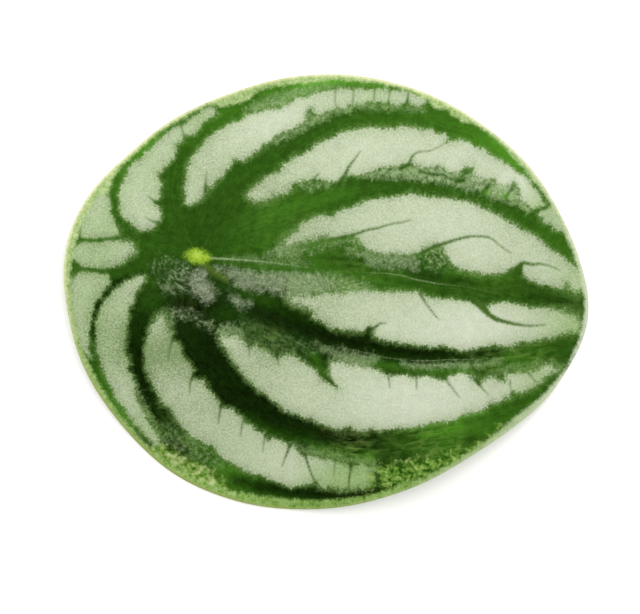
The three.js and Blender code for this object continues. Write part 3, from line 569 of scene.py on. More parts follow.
# %% Side veins that cross the silver as thin green strokes, and one stroke of painted shade
# Half-width at the start and at the end, then the stroke's way.
GREEN_STROKES = [
    (0.22, 0.22, [(-35.3, 4.7), (-37, 4.45), (-38.8, 3.95), (-41.4, 3.8)]),
    (0.35, 0.3, [(-41.7, 3.8), (-42, 4.1)]),
    (0.3, 0.15, [(-41.9, 4), (-41.9, 6.1)]),
    (0.3, 0.15, [(-41.9, 4), (-42.2, 2.7)]),
    (0.22, 0.22, [(-35.3, -0.9), (-38, -1.1), (-41.3, -1)]),
    (0.22, 0.1, [(-41.3, -0.95), (-42.4, 0.2)]),
    (0.22, 0.08, [(-41.3, -0.95), (-41.6, -1.6), (-42, -2.6), (-42.2, -3.7)]),
    (0.12, 0.12, [(-41.9, -4.8), (-41.95, -5.3)]),
    (0.12, 0.12, [(-41.7, -6.8), (-41.7, -7.2)]),
    (0.45, 0.05, [(0, 17.4), (0.8, 19.4), (1.4, 21.1), (2.2, 22.6), (3, 24)]),
    (0.35, 0.08, [(9.9, 21.9), (11.2, 22.8), (11.6, 24.1), (12.3, 24.9), (12.9, 25.2)]),
    (0.1, 0.02, [(12.8, 25.1), (14.5, 25.5), (15.8, 26.3), (17, 27.2)]),
    (0.1, 0.28, [(-4.4, 6.9), (-1.4, 8.3), (1.4, 9.2)]),
    (0.28, 0.08, [(1.4, 9.2), (4, 10.2), (5.5, 11), (7, 11.5), (8.5, 12.1), (10, 12.7), (11.1, 13),
                  (12.6, 13.6)]),
    (0.3, 0.28, [(14.4, 7.8), (16.9, 9.6), (19, 10.6)]),
    (0.28, 0.05, [(19, 10.6), (21.5, 11.7), (23, 12.2), (25, 12.4), (26.5, 12.2), (27.6, 11.5), (28.6, 10.9),
                 (30, 10.3)]),
    (0.9, 0.45, [(30.6, 5), (31.4, 7), (31.9, 8.6)]),
    (0.34, 0.02, [(31.9, 8.7), (32.5, 8.9), (34, 8.85), (35, 9.1), (36.5, 9), (37.8, 8.7), (38.6, 8.4)]),
    (0.15, 0.1, [(33.2, 17.8), (34.3, 18.2), (35.4, 19)]),
    (0.22, 0.2, [(34.55, 16.7), (34.65, 16.7)]),
    (0.22, 0.05, [(15.6, 1.7), (17.2, -0.2), (18.3, -1.3), (19.3, -2.2)]),
    (0.9, 0.45, [(24.6, 2.3), (26.2, 0.8), (27.6, -0.4)]),
    (0.45, 0.08, [(27.6, -0.4), (28.8, -0.95), (30.2, -1.2), (32.8, -1.42), (34.9, -1.35), (37.2, -0.9)]),
    (0.35, 0.06, [(7.7, -5.4), (8.9, -4.8), (9.6, -4.1), (10.6, -3.9)]),
    (0.2, 0.03, [(-12.2, -8.4), (-11.4, -10.6), (-11.1, -12.1)]),
    (0.2, 0.03, [(-6.8, -10.8), (-6.1, -13.1)]),
    (0.12, 0.03, [(12, -11.8), (12.4, -13.6), (12.6, -14.4)]),
    (0.2, 0.03, [(16.7, -11.8), (17.1, -14.2)]),
    (0.2, 0.03, [(21.6, -11.8), (23, -13.3), (24.3, -14.6)]),
    (0.3, 0.03, [(26.6, -11.4), (28.3, -13), (29.1, -13.7)]),
    (0.12, 0.03, [(32.4, -10.8), (33, -13.1)]),
    (0.2, 0.03, [(35.3, -9.2), (37.2, -10.9)]),
    (0.22, 0.03, [(-24, -10.2), (-24.4, -12), (-24.5, -14.6)]),
    (0.25, 0.03, [(-19.9, -16.2), (-20.4, -17.6), (-20.3, -19.6)]),
    (0.3, 0.03, [(-14.7, -19.8), (-14.9, -21.6), (-15, -23.8)]),
    (0.14, 0.03, [(-10.9, -22.8), (-11.1, -25.6)]),
    (0.14, 0.03, [(-7, -24.8), (-7.1, -27.7)]),
    (0.28, 0.03, [(-2.7, -25.9), (-3.1, -27.8), (-3.6, -29.8)]),
    (0.22, 0.1, [(0, -27.2), (0.6, -28.6), (1.2, -29.9), (2.2, -31.6)]),
    (0.12, 0.03, [(5.1, -27.6), (5.2, -30.2)]),
    (0.22, 0.12, [(7.9, -27.8), (7.8, -30.5), (8, -32.2)]),
    (0.34, 0.28, [(12.1, -28.8), (12.4, -29.8), (12.7, -31)]),
    (0.14, 0.02, [(-2.4, 34.4), (-2.3, 32.6), (-2, 31)]),
    (0.08, 0.06, [(0.6, 34.3), (0.8, 31.8)]),
    (0.14, 0.04, [(4.1, 35), (4.2, 32.8)]),
    (0.08, 0.12, [(6.7, 34.8), (6.6, 32.6)]),
    (0.16, 0.28, [(9.8, 35), (9.7, 33), (9.3, 32.6)]),
    (0.12, 0.1, [(13.2, 33.8), (13.1, 32.8)]),
    (0.2, 0.03, [(-21.8, 14.2), (-21.9, 15.6), (-22, 17.6)]),
    (0.12, 0.08, [(-27.4, 25), (-26.6, 23.1)]),
    # Painted shade: a dark line on the shaded side of the midrib's furrow.
    (0.2, 0.05, [(-18.5, 2.95), (-14, 2.95), (-10, 3.05), (-5, 3.1), (-2, 3.05)]),
    (0.25, 0.05, [(-4, 17.8), (-4, 18.6), (-3.4, 19.4)]),
    (0.3, 0.03, [(-28.9, 11.2), (-30.2, 11.7), (-31.3, 12.4)]),
    (0.25, 0.03, [(-28.8, 8.2), (-30, 8.2), (-31.3, 8.8)]),
    (0.25, 0.03, [(-29, 16), (-30.4, 16.6)]),
    (0.25, 0.03, [(-37.3, 11.4), (-38.6, 11.8)]),
    (0.25, 0.15, [(13.2, 21.9), (15.5, 21.6), (17, 21.8), (18, 21.4), (19.2, 21.2), (20, 21.6), (20.5, 22.2),
                  (21.9, 23.1)]),
    (0.4, 0.4, [(19.5, 21), (20.6, 21.3)]),
    (0.5, 0.25, [(24.3, 19.8), (25, 21.2)]),
    (0.3, 0.1, [(28, 19.4), (29, 21.4)]),
]
# Thin creases that run in the beds of the midrib and of the vein below it, each with a pale line painted
# along it as a highlight. A half-width below 0 leaves that line faint.
CREASES_WITH_PAINTED_HIGHLIGHTS = [
    (0.12, -0.08, [(-20, 3.3), (-16, 3.55), (-13, 3.7), (-8, 3.8), (0, 3.6)]),
    (-0.12, -0.02, [(-1, 3.6), (2.3, 3.7), (5, 3.95), (7.5, 4.15), (10, 4.35)]),
    (0.0, 0.02, [(10, 4.35), (12.5, 4.3), (14, 4), (16, 3.85), (18, 3.7)]),
    (0.0, -0.14, [(18, 3.7), (22.3, 3.7), (28, 3.6)]),
    (-0.16, -0.02, [(-3, -8.2), (1.5, -8.7), (4.9, -8.9), (8.4, -9.1), (10.1, -9.5)]),
    (-0.02, -0.05, [(10.1, -9.5), (15.3, -9.5), (18.8, -9.15), (20, -8.9), (24, -8.3), (29, -7.6),
                    (31, -7.2)]),
    (-0.02, -0.04, [(13.6, -10.3), (15.3, -10.2), (19.7, -9.8), (24, -9), (27, -8.9)]),
]
print("green strokes:", len(GREEN_STROKES), "pale creases:", len(CREASES_WITH_PAINTED_HIGHLIGHTS))

# %% Greens of the bands
# For each vein, the green of its band from the spot to the margin: 0 is nearly black, 1 is a fresh mid green.
BAND_GREENS = [
    [0.38, 0.50, 0.51, 0.40, 0.38, 0.38],
    [0.36, 0.49, 0.43, 0.42, 0.45, 0.56],
    [0.34, 0.40, 0.41, 0.46, 0.54, 0.74],
    [0.36, 0.40, 0.42, 0.54, 0.56, 0.74],
    [0.36, 0.38, 0.40, 0.46, 0.60, 0.74],
    [0.38, 0.40, 0.40, 0.42, 0.46, 0.50],
    [0.38, 0.40, 0.40, 0.40, 0.44, 0.46],
    [0.36, 0.26, 0.15, 0.20, 0.46, 0.66],
    [0.34, 0.24, 0.04, 0.12, 0.52, 0.44],
    [0.24, 0.07, 0.05, 0.16, 0.52, 0.48],
    [0.28, 0.20, 0.16, 0.20, 0.40, 0.40],
]
print("band greens for", len(BAND_GREENS), "veins")

# %% Lines and places where a band differs
# How much lighter or darker the green is, how far to each side, and the line's way. The lighter lines along
# the lower side of veins 9 and 10 and the darker one along the upper side of vein 9 are painted light and
# shade on the walls of their furrows.
GREEN_LINES_AND_PAINTED_FURROW_LIGHT = [
    (-0.13, 1.2, [(-11, -4.5), (-5, -6), (0, -6.9), (5, -7.6), (10, -8), (15, -8.2), (19, -7.9)]),
    (-0.18, 1.1, [(21, -7.7), (25, -7.2), (29.5, -6.4)]),
    (0.26, 0.7, [(-8, 34.2), (-5, 35), (0, 35.4), (6, 35.4)]),
    # Painted light on the lower wall of vein 10's furrow.
    (0.10, 1.2, [(-12, -7.4), (-6, -8.8), (-2, -9.8)]),
    (0.26, 1.0, [(-0.5, -10.8), (1.6, -13.4)]),
    # Painted light on the lower wall of vein 10's furrow, here and in the next line.
    (0.26, 1.0, [(9, -10.6), (15, -11), (20, -10.8), (25, -9.8)]),
    (0.10, 1.2, [(27, -9), (30, -8.2), (36, -7.2)]),
    (0.05, 2.0, [(31, -6.6), (36, -5.6)]),
    (0.10, 1.5, [(-14, -1.8), (-9, -2.4)]),
    # Painted light on the lower wall of vein 9's furrow.
    (0.22, 1.2, [(-10, -22.8), (-6, -24.3), (-2, -25.2), (2, -25.7), (6, -26), (11, -26)]),
    (0.03, 2.0, [(15, -23.6), (22, -22.2), (28, -19.5)]),
    (0.30, 0.45, [(16, -20.9), (20, -19.8), (25, -17.8), (28.5, -16.5)]),
    (-0.15, 0.9, [(26.5, -21.6), (29, -21)]),
    (-0.05, 1.0, [(31, -17), (36, -12.5), (39, -9.8)]),
    (-0.16, 1.0, [(-24, -28.2), (-20, -28.6)]),
    (-0.20, 1.0, [(-11, -32.8), (-8, -33.4), (0, -33.8), (6, -33.2), (12, -31.6)]),
    (0.16, 1.5, [(-26, -26), (-18, -28)]),
    # Painted light on the lower wall of vein 9's furrow.
    (0.20, 0.9, [(1, -26.4), (6, -26.9), (11, -26.8)]),
    (0.08, 1.5, [(-29, -1.5), (-29.5, -5)]),
    (-0.07, 0.9, [(-33, -2), (-36, -5), (-37.6, -9)]),
    (0.30, 0.6, [(24.5, 19.8), (29, 19.6)]),
    (0.14, 1.0, [(20, 5.7), (26, 5.7), (30, 6)]),
    (-0.12, 0.8, [(14, 4.8), (24, 4.8)]),
    (-0.10, 1.5, [(1, 6), (5, 5.6)]),
    (0.10, 1.5, [(25, 29), (29, 26.8)]),
    (0.09, 1.0, [(-12, 11), (-6, 14), (2, 17)]),
    (-0.08, 0.8, [(34, 3.7), (39, 3.4), (42, 3)]),
    (0.18, 0.8, [(19, -21.6), (22, -20.8), (25, -19.4)]),
    (0.12, 0.8, [(-14, -31.2), (-11, -31.7)]),
    # Painted shade on the upper wall of vein 9's furrow.
    (-0.14, 1.0, [(3, -22.8), (7, -22.9), (11, -22.6)]),
    (-0.12, 1.2, [(-7, -33.6), (-2, -33.6), (3, -33.4)]),
    (-0.12, 1.4, [(-24, -5), (-20, -5), (-17, -3.5)]),
]
# Where the bands are streaked with a lighter olive: where, how far it reaches, how much.
STREAKY_PLACES = [
    (8, -26.2, 3.8, 0.9), (20, -22.5, 7.0, 0.55), (-20, -27.5, 5.0, 0.4), (-14, -31, 2.0, 0.4),
    (28, 4, 7.0, 0.2), (30, -7.6, 4.5, 0.5), (34, -5.5, 5.0, 0.5), (-8, -9, 2.4, 0.45), (-23, -4, 5.0, 0.1),
    (-9, 11, 6.0, 0.2), (5, 6, 6.0, 0.3),
]
print("lines that differ:", len(GREEN_LINES_AND_PAINTED_FURROW_LIGHT), "streaky places:", len(STREAKY_PLACES))

# %% Places where the silver differs
# Where the silver fades into the green over a wider strip: where, how far it reaches, how much wider.
SOFT_PLACES = [
    (-13, 22.5, 3.0, 0.2), (-8, 26, 3.5, 0.3), (-2, 30, 4.0, 0.3), (5, 32, 4.0, 0.2), (12, 33, 3.5, 0.2),
    (-12, 14.5, 3.0, 0.4), (15, 21.8, 3.5, 0.3), (22, 21.8, 3.5, 0.3), (29, 20, 4.0, 0.3),
    (-7, 7, 3.5, 0.5), (-1, 8.6, 2.5, 0.3), (10, 7.4, 4.0, 0.4), (17.5, 9, 2.5, 0.4), (25, 6, 4.0, 0.2),
    (2, 1, 4.0, 0.5), (-4, -1, 3.0, 0.5), (8, -5.4, 3.0, 0.1), (-14, -9, 2.5, 0.5), (-6, -11.4, 4.0, 0.2),
    (6, -11, 3.5, 0.4), (26, -11, 4.0, 0.2), (33, -9.6, 4.0, 0.4), (40, -7.6, 3.0, 0.4),
    (-25.5, -8, 2.5, 0.4), (6, -27.6, 6.0, 0.3), (-14, 30, 4.0, 0.3), (42, 4, 3.0, 0.3),
    (41, 1.6, 3.0, 0.3), (-33.5, 3, 2.5, 0.3), (-22, 14.5, 2.5, 0.3), (-26, -25, 4.0, 0.3),
    (-5.5, -1, 2.0, 0.4), (-38, 0, 5.0, -0.1), (-37, 10, 4.0, -0.1), (-37.5, -9, 5.0, -0.1),
    (42.5, 0, 3.0, 0.3), (42.5, 5, 3.0, 0.3), (2, -32.6, 6.0, -0.1),
]
# Where the silver is brighter, or duller, than the rest, partly its own patchiness and partly painted
# light and shade that is brighter towards the middle and right and duller towards the left: where, how
# far it reaches, how much.
SILVER_TONE_AND_PAINTED_LIGHT = [
    (17, -15, 12.0, 0.50), (26, -3, 8.0, 0.45), (20, 14, 9.0, 0.25), (5, 25, 9.0, 0.25),
    (-12, 28, 7.0, 0.4), (-4, -28.5, 6.0, 0.2), (-24.5, -13, 5.0, -1.0), (-18, -22, 6.0, -0.3),
    (-27.8, -10.5, 2.0, 0.35), (-33, -12, 6.0, -0.60), (-4, 9, 4.0, -0.55), (-9, -12, 5.0, -0.40),
    (1, -2, 4.0, -0.30), (-22, 17, 5.0, -0.25), (-38, 0, 6.0, -0.30), (-11, 16, 5.0, -0.30),
    (8, -30, 4.5, -0.25), (-21.5, -30.8, 3.0, 1.4), (-15.5, -33.2, 3.0, 1.2), (30, 22, 3.5, 0.8),
    (20, 25, 6.0, 0.25), (-4, 9, 2.5, 0.2),
]
# Silver that is greener than the rest: where, how far it reaches, how much greener.
GREENER_SILVER = [
    (42, -1, 5.0, 0.75), (-38, 8, 5.0, 0.40), (-39, 1.5, 5.0, 0.35), (-39, -7, 5.0, 0.45),
    (-33, -14, 5.0, 0.35), (-31, 17, 5.0, 0.35), (37, -10, 4.0, 0.45), (4, 33.5, 6.0, 0.35),
    (9, -30, 5.0, 1.0), (3, -31.5, 3.5, 0.45), (36, 17, 3.0, 0.40), (41, 8, 3.5, 0.35),
    (-27, -26, 4.0, 0.45), (-24.5, 26, 3.5, 0.5), (33, 20.5, 3.5, 0.40), (-10, -28, 6.0, 0.20),
]
print("places where silver differs:", len(SOFT_PLACES), len(SILVER_TONE_AND_PAINTED_LIGHT), len(GREENER_SILVER))

# %% The rim's colours, and two mottled places
# How pale the rim is, every 30 degrees anticlockwise from the tip: 0 is leaf green, 1 is nearly white.
RIM_PALENESS = [0.80, 0.85, 0.80, 0.90, 0.80, 0.90, 0.90, 0.60, 0.50, 0.38, 0.38, 0.45, 0.80]
# How olive the very edge is, for the same angles.
RIM_OLIVE = [0.0, 0.0, 0.0, 0.1, 0.15, 0.1, 0.05, 0.7, 0.9, 0.6, 0.2, 0.0, 0.0]
# How grey the rim is, for the same angles: the tip is thin and lets the light through.
RIM_GREY = [0.9, 0.3, 0.0, 0.0, 0.0, 0.0, 0.0, 0.0, 0.0, 0.0, 0.0, 0.4, 0.9]
# Two parts of the lower margin where silver and green mix in patches about a millimetre wide.
MOTTLED_LOOPS = [
    [
        (10.6, -28.4), (13, -27.8), (15.5, -26.9), (17, -26.5), (18.5, -26), (20, -25.3), (22, -24.8),
        (23.5, -24.2), (25, -23.7), (27, -22.8), (29, -21.8), (30.5, -20), (31.6, -18.9), (30, -21.4),
        (28, -23.4), (25, -25.8), (20, -29), (16, -30.4), (11.2, -31.4), (10.6, -30.6), (11.2, -29.6),
    ], [
        (-24.6, -28.5), (-22.5, -29.1), (-21.2, -29.9), (-19.9, -30.8), (-18, -31), (-15.8, -31.8),
        (-14.5, -32.6), (-13, -33.7), (-11.5, -34.4), (-13, -35.4), (-16, -34.9), (-20, -33.4), (-24, -31),
        (-25.8, -29.6),
    ],
]
print("mottled places:", len(MOTTLED_LOOPS))

# %% [markdown]
# ## The blade's mesh
# The blade is one closed skin: an upper face, a rounded rim and an underside. A sheet with Solidify on it
# would be quicker, but then the underside would repeat every fine dent of the upper face. Two six-cornered
# nets are drawn flat instead, the rim is extruded from the first and bridged to the second, and each corner
# is then moved to its place by the formulas above. The upper net is the finer, because the light falls on it.

# %% Two flat nets
UPPER_PARTS = (12, 13)
LOWER_PARTS = (4, 13)
RIM_ROWS = 4
ROW_STEP = 0.1
LOWER_LEVEL = -1.0


def flat_net(name, level, parts):
    """A hexagon of even triangles, each of its six sides cut first into parts[0], then into parts[1]."""
    bpy.ops.object.select_all(action="DESELECT")
    bpy.ops.mesh.primitive_circle_add(vertices=6, radius=1.0, fill_type="TRIFAN", location=(0, 0, level))
    net = bpy.context.object
    net.name = net.data.name = name
    bpy.ops.object.transform_apply(location=True, rotation=True, scale=True)
    bpy.ops.object.mode_set(mode="EDIT")
    bpy.ops.mesh.select_all(action="SELECT")
    for part in parts:
        bpy.ops.mesh.subdivide(number_cuts=part - 1)
    bpy.ops.object.mode_set(mode="OBJECT")
    return net


blade = flat_net("blade", 0.0, UPPER_PARTS)
underside = flat_net("underside", LOWER_LEVEL, LOWER_PARTS)
print("upper net:", len(blade.data.polygons), "triangles; lower net:", len(underside.data.polygons))

# %% Rim, and one skin out of both nets
bpy.ops.object.mode_set(mode="EDIT")
bpy.ops.mesh.select_all(action="SELECT")
bpy.ops.mesh.flip_normals()
bpy.ops.object.mode_set(mode="OBJECT")


def select_border(piece):
    """Goes into edit mode with only the open edges of the piece selected."""
    bpy.ops.object.select_all(action="DESELECT")
    piece.select_set(True)
    bpy.context.view_layer.objects.active = piece
    bpy.ops.object.mode_set(mode="EDIT")
    bpy.ops.mesh.select_mode(type="EDGE")
    bpy.ops.mesh.select_all(action="DESELECT")
    bpy.ops.mesh.select_non_manifold(extend=False, use_wire=False, use_boundary=True, use_multi_face=False,
                                     use_non_contiguous=False, use_verts=False)


select_border(blade)
for rim_row in range(RIM_ROWS):
    bpy.ops.mesh.extrude_edges_move(TRANSFORM_OT_translate={"value": (0, 0, -ROW_STEP)})
bpy.ops.object.mode_set(mode="OBJECT")
bpy.ops.object.select_all(action="DESELECT")
underside.select_set(True)
blade.select_set(True)
bpy.context.view_layer.objects.active = blade
bpy.ops.object.join()
select_border(blade)
bpy.ops.mesh.bridge_edge_loops()
bpy.ops.mesh.select_all(action="SELECT")
bpy.ops.mesh.quads_convert_to_tris()
bpy.ops.object.mode_set(mode="OBJECT")
print("blade skin:", len(blade.data.vertices), "corners,", len(blade.data.polygons), "triangles")

# %% Where each corner of the nets belongs
count = len(blade.data.vertices)
flat = np.empty(count * 3)
blade.data.vertices.foreach_get("co", flat)
flat = flat.reshape(count, 3)
# A corner's ring is its share of the way from the middle to the hexagon's edge, and its step is how far it is
# along that ring within its sixth. On the leaf both stay the same, and the margin takes the edge's place.
turned = np.mod(np.arctan2(flat[:, 1], flat[:, 0]) - np.pi / 6, 2 * np.pi)
sector = np.floor(turned / (np.pi / 3) + 1e-6)
radius = np.hypot(flat[:, 0], flat[:, 1])
step = radius * np.sin(turned - sector * np.pi / 3) / math.sin(math.pi / 3)
ring = radius * np.cos(turned - sector * np.pi / 3) + step / 2
angle = np.pi / 6 + (sector + np.where(ring > 0, step / np.maximum(ring, 1e-9), 0)) * np.pi / 3
level = flat[:, 2]
is_under = level < LOWER_LEVEL + ROW_STEP / 2
row = np.where(is_under, 0, np.round(-level / ROW_STEP))
reach = margin_reach(angle)
bed = ring * (reach - RIM_INSET)
bed_x, bed_y = bed * np.cos(angle), bed * np.sin(angle)
print("rings from 0 to", round(float(ring.max()), 4), "rim rows", sorted({int(r) for r in row}))

# %% Distance of every corner from the veins and the pattern
vein_away, vein_side, vein_along = (np.array(part) for part in zip(
    *[from_line(line, bed_x, bed_y) for line in vein_lines]))
vein_length = vein_along.max(axis=1, keepdims=True)
nearest = vein_away.argmin(axis=0)
rows = np.arange(count)
across = vein_away[nearest, rows] * vein_side[nearest, rows]
# Each vein's stretch starts further on than the last one's, so that no two share a pattern.
VEIN_APART = 97.0
along = vein_along[nearest, rows] + VEIN_APART * nearest

# Between two veins the green is a blend of theirs, mostly the nearer one's.
closeness = 1 / (vein_away ** 2 + 1) ** 2
band_green = np.array([np.interp(way / whole, np.linspace(0, 1, 6), greens)
                       for way, whole, greens in zip(vein_along, vein_length, BAND_GREENS)])
green = (band_green * closeness).sum(axis=0) / closeness.sum(axis=0)
for change, far, way in GREEN_LINES_AND_PAINTED_FURROW_LIGHT:
    green += change * np.exp(-(from_line(way, bed_x, bed_y)[0] / far) ** 2)

silver = np.max([inside_loop(loop, bed_x, bed_y) for loop in SILVER_ZONES.values()], axis=0)
rim = -inside_loop(RIM_LOOP, bed_x, bed_y)
mottled = np.max([inside_loop(loop, bed_x, bed_y) for loop in MOTTLED_LOOPS], axis=0)
print("green from", round(float(green.min()), 2), "to", round(float(green.max()), 2), "on the ramp")

# %% Strokes and thin zones on the mesh
FAR_OUTSIDE = -9.0
BLEND_PER_MM, COUNTED_DEPTHS = 3, (-4, 0.6)


def from_strokes(strokes):
    """How far inside the nearest stroke each point is, the strokes thinning from start to end."""
    depth = np.full(count, FAR_OUTSIDE)
    for start, end, way in strokes:
        away, side, passed = from_line(through_points(way, 3), bed_x, bed_y)
        depth = np.maximum(depth, start + (end - start) * passed / passed.max() - away)
    return depth


stroke = from_strokes(GREEN_STROKES)
crease = from_strokes(CREASES_WITH_PAINTED_HIGHLIGHTS)
thin_depths = np.array([inside_loop(zone[-1], bed_x, bed_y) for zone in THIN_ZONES.values()])
# Where thin zones meet, their numbers blend over about a third of a millimetre.
thin_weights = np.exp(BLEND_PER_MM * np.clip(thin_depths, *COUNTED_DEPTHS))
thin_weights /= thin_weights.sum(axis=0)
thin = thin_depths.max(axis=0)
cover, clumped, grey = np.array([zone[:-1] for zone in THIN_ZONES.values()]).T @ thin_weights
print("thin zones cover", round(float((thin[~is_under] > 0).mean()), 2), "of the upper face")

# %% Soft patches on the mesh
EDGE_DULLING, EDGE_DULLING_REACH = 0.7, 0.8
PLAIN_FADE = 0.34


def patches(places):
    """One soft round patch for each place, strongest in its middle and fading out over its reach."""
    return np.array([strength * np.exp(-((bed_x - x) ** 2 + (bed_y - y) ** 2) / far ** 2)
                     for x, y, far, strength in places])


greener = patches(GREENER_SILVER).sum(axis=0)
streaky = patches(STREAKY_PLACES).max(axis=0)
soft = PLAIN_FADE + patches(SOFT_PLACES).sum(axis=0)
# The air cells are smaller near the edge of a zone, so the silver brightens over the first millimetre.
# These patches also hold painted light and shade: brighter towards the middle and right, duller towards the
# left.
light = patches(SILVER_TONE_AND_PAINTED_LIGHT).sum(axis=0) - EDGE_DULLING * np.exp(-np.maximum(silver, 0) / EDGE_DULLING_REACH)
rim_pale, rim_olive, rim_grey = (
    np.interp(np.degrees(np.mod(angle, 2 * np.pi)), np.arange(0, 361, 30), shares)
    for shares in (RIM_PALENESS, RIM_OLIVE, RIM_GREY))
print("silver fades over", round(float(soft.min()), 2), "to", round(float(soft.max()), 2), "mm")

# %% The spot, and what leaves it
SPOT_HALF_LENGTH, SPOT_HALF_WIDTH, SPOT_SHIFT = 2.3, 1.35, 0.2
ARC_STRETCH = 2.5
SPOT_RAY = [(-20.6, 2.2), (-18.6, 1.1), (-16.6, 0.2)]
THREAD_START, THREAD_FADE = -0.05, 0.04
RAY_START, RAY_FADE = 0.1, 0.5
spot = np.hypot((bed_x - SPOT[0]) / SPOT_HALF_LENGTH, (bed_y - SPOT[1] - SPOT_SHIFT) / SPOT_HALF_WIDTH)
from_seat = np.hypot(bed_x - SPOT[0], bed_y - SPOT[1])
turn = ARC_STRETCH * np.mod(np.arctan2(bed_y - SPOT[1], bed_x - SPOT[0]) - math.pi / 2, 2 * math.pi)
# Near the spot the third and fourth veins show as thin yellow-green threads, which fade as they leave it,
# and a short soft ray runs towards the next zone of silver.
ray_away = from_line(SPOT_RAY, bed_x, bed_y)[0]
thread = np.maximum(THREAD_START - vein_away[[2, 3]].min(axis=0) - THREAD_FADE * from_seat,
                    RAY_START - RAY_FADE * ray_away)
thread = np.where(spot > 0.7, thread, -1.0)
print("silver covers", round(float((silver[~is_under] > 0).mean()), 2), "of the upper face")

# %% Heights of both faces at every corner
FURROW_FADE_START = 0.72
VEIN_BLEND = 4
RIB_SHARE = 0.7
SEAT_RADIUS, SEAT_EDGE = 2.6, 4.6
# Green tissue lies a little lower than silver, and strokes and creases are pressed in. Each dent comes on
# over a strip at its edge, and all of them fade out before the margin.
PUFF, STROKE_DEPTH, CREASE_DEPTH = 0.12, 0.07, 0.05
PUFF_STRIP, STROKE_STRIP, CREASE_STRIP = (-0.4, 1.0), (-0.35, 0.1), (-0.25, 0.05)
RELIEF_FADE = (0.88, 0.97)

dome = dome_height(bed_x, bed_y)
furrow_power = sum((depth * np.exp(-(away / width) ** 2)) ** VEIN_BLEND
                   for (meets, depth, width, stops), away in zip(VEINS, vein_away))
spread = np.minimum(1, bed / reach)
furrow = (1 - smooth_step(FURROW_FADE_START, 1, spread)) * furrow_power ** (1 / VEIN_BLEND)
ribbed = np.maximum(0, dome - furrow * (1 + RIB_SHARE))
under_z = seat_height + (ribbed - seat_height) * smooth_step(SEAT_RADIUS, SEAT_EDGE, from_seat)
relief = PUFF * (1 - smooth_step(*PUFF_STRIP, silver))
relief += (STROKE_DEPTH * smooth_step(*STROKE_STRIP, stroke)
           + CREASE_DEPTH * smooth_step(*CREASE_STRIP, crease))
relief *= 1 - smooth_step(*RELIEF_FADE, spread)
upper_z = dome + blade_thickness(bed_x, bed_y) - furrow - relief
is_rim = row > 0
print("thinnest upright:", round(float((upper_z - under_z)[~is_rim].min()), 3), "mm")

# %% Every corner to its place
# The rim is bowed: its rows go round half an oval, from the upper face to the underside.
bow = math.pi / 2 - row * math.pi / (RIM_ROWS + 1)
middle, half = (upper_z + under_z) / 2, (upper_z - under_z) / 2
out = np.where(is_rim, bed + RIM_INSET * np.cos(bow), bed)
place = np.empty((count, 3))
place[:, 0] = out * np.cos(angle)
place[:, 1] = out * np.sin(angle)
place[:, 2] = np.where(is_rim, middle + half * np.sin(bow), np.where(is_under, under_z, upper_z))
blade.data.vertices.foreach_set("co", (place * MM).ravel())
blade.data.update()
bpy.context.view_layer.objects.active = blade
bpy.ops.object.mode_set(mode="EDIT")
bpy.ops.mesh.select_all(action="SELECT")
bpy.ops.mesh.normals_make_consistent(inside=False)
bpy.ops.object.mode_set(mode="OBJECT")
bpy.ops.object.shade_smooth()
print("highest corner:", round(float(place[:, 2].max()), 3), "mm")

# %% What the materials will read
UNDER_MEASURES = {"vein": vein_away.min(axis=0), "spot": spot}
UPPER_MEASURES = {
    "silver": silver, "soft": soft, "stroke": stroke, "crease": crease, "green": green, "streaky": streaky,
    "thin": thin, "cover": cover, "clumped": clumped, "grey": grey, "greener": greener, "light": light,
    "mottled": mottled, "rim": rim, "rim_pale": rim_pale, "rim_olive": rim_olive, "rim_grey": rim_grey,
    "margin": reach - out, "along": along, "across": across, "spot": spot, "thread": thread,
    "from_seat": from_seat, "turn": turn,
}
MEASURES = {**UPPER_MEASURES, **UNDER_MEASURES}
for name, values in MEASURES.items():
    layer = blade.data.attributes.new(name, "FLOAT", "POINT")
    layer.data.foreach_set("value", values.astype(np.float32))
is_lower_skin = is_under | (row >= RIM_ROWS - 1)
corners = np.empty(len(blade.data.polygons) * 3, dtype=np.int32)
blade.data.polygons.foreach_get("vertices", corners)
lower_face = is_lower_skin[corners].reshape(-1, 3).all(axis=1)
blade.data.polygons.foreach_set("material_index", lower_face.astype(np.int32))
print("measures:", ", ".join(MEASURES))

# %% [markdown]
# ## The skin of the upper face
# A peperomia's blade is fleshy and waxy. Its green parts are smooth and shine, and its silver parts are
# dusted with tiny air cells, which makes them mealy and duller. Both are the same skin, so they are one
# material whose colour, roughness and bump follow the measures stored on the mesh. Painting a texture by
# hand would be the other way, but measured distances keep their edges sharp at any size.

# %% Teeth, streaks and grain
# Living leaf skin under a thin coat of wax: soft gloss on the green, and a mealy, matt look on the silver.
top, top_skin = new_material("waxy_variegated_leaf_skin")
measure = {name: add_node(top, "ShaderNodeAttribute", None, "Fac", attribute_name=name)
           for name in UPPER_MEASURES}
place_on_piece = add_node(top, "ShaderNodeTexCoord", None, "Object")
in_mm = add_node(top, "ShaderNodeMapping", {"Vector": place_on_piece, "Scale": (1000, 1000, 0)})
by_vein = add_node(top, "ShaderNodeCombineXYZ", {0: measure["along"], 1: measure["across"]})

# Teeth at a band's edge point across the band, one every half millimetre or so.
tooth_way = add_node(top, "ShaderNodeMapping", {"Vector": by_vein, "Scale": (1.9, 0.8, 1)})
teeth = add_node(top, "ShaderNodeTexNoise", {"Vector": tooth_way, "Scale": 1.0, "Detail": 2.0})
# Bays where the silver frays, about 1.2 mm apart.
bays = add_node(top, "ShaderNodeTexNoise", {"Vector": in_mm, "Scale": 0.8, "Detail": 2.0})
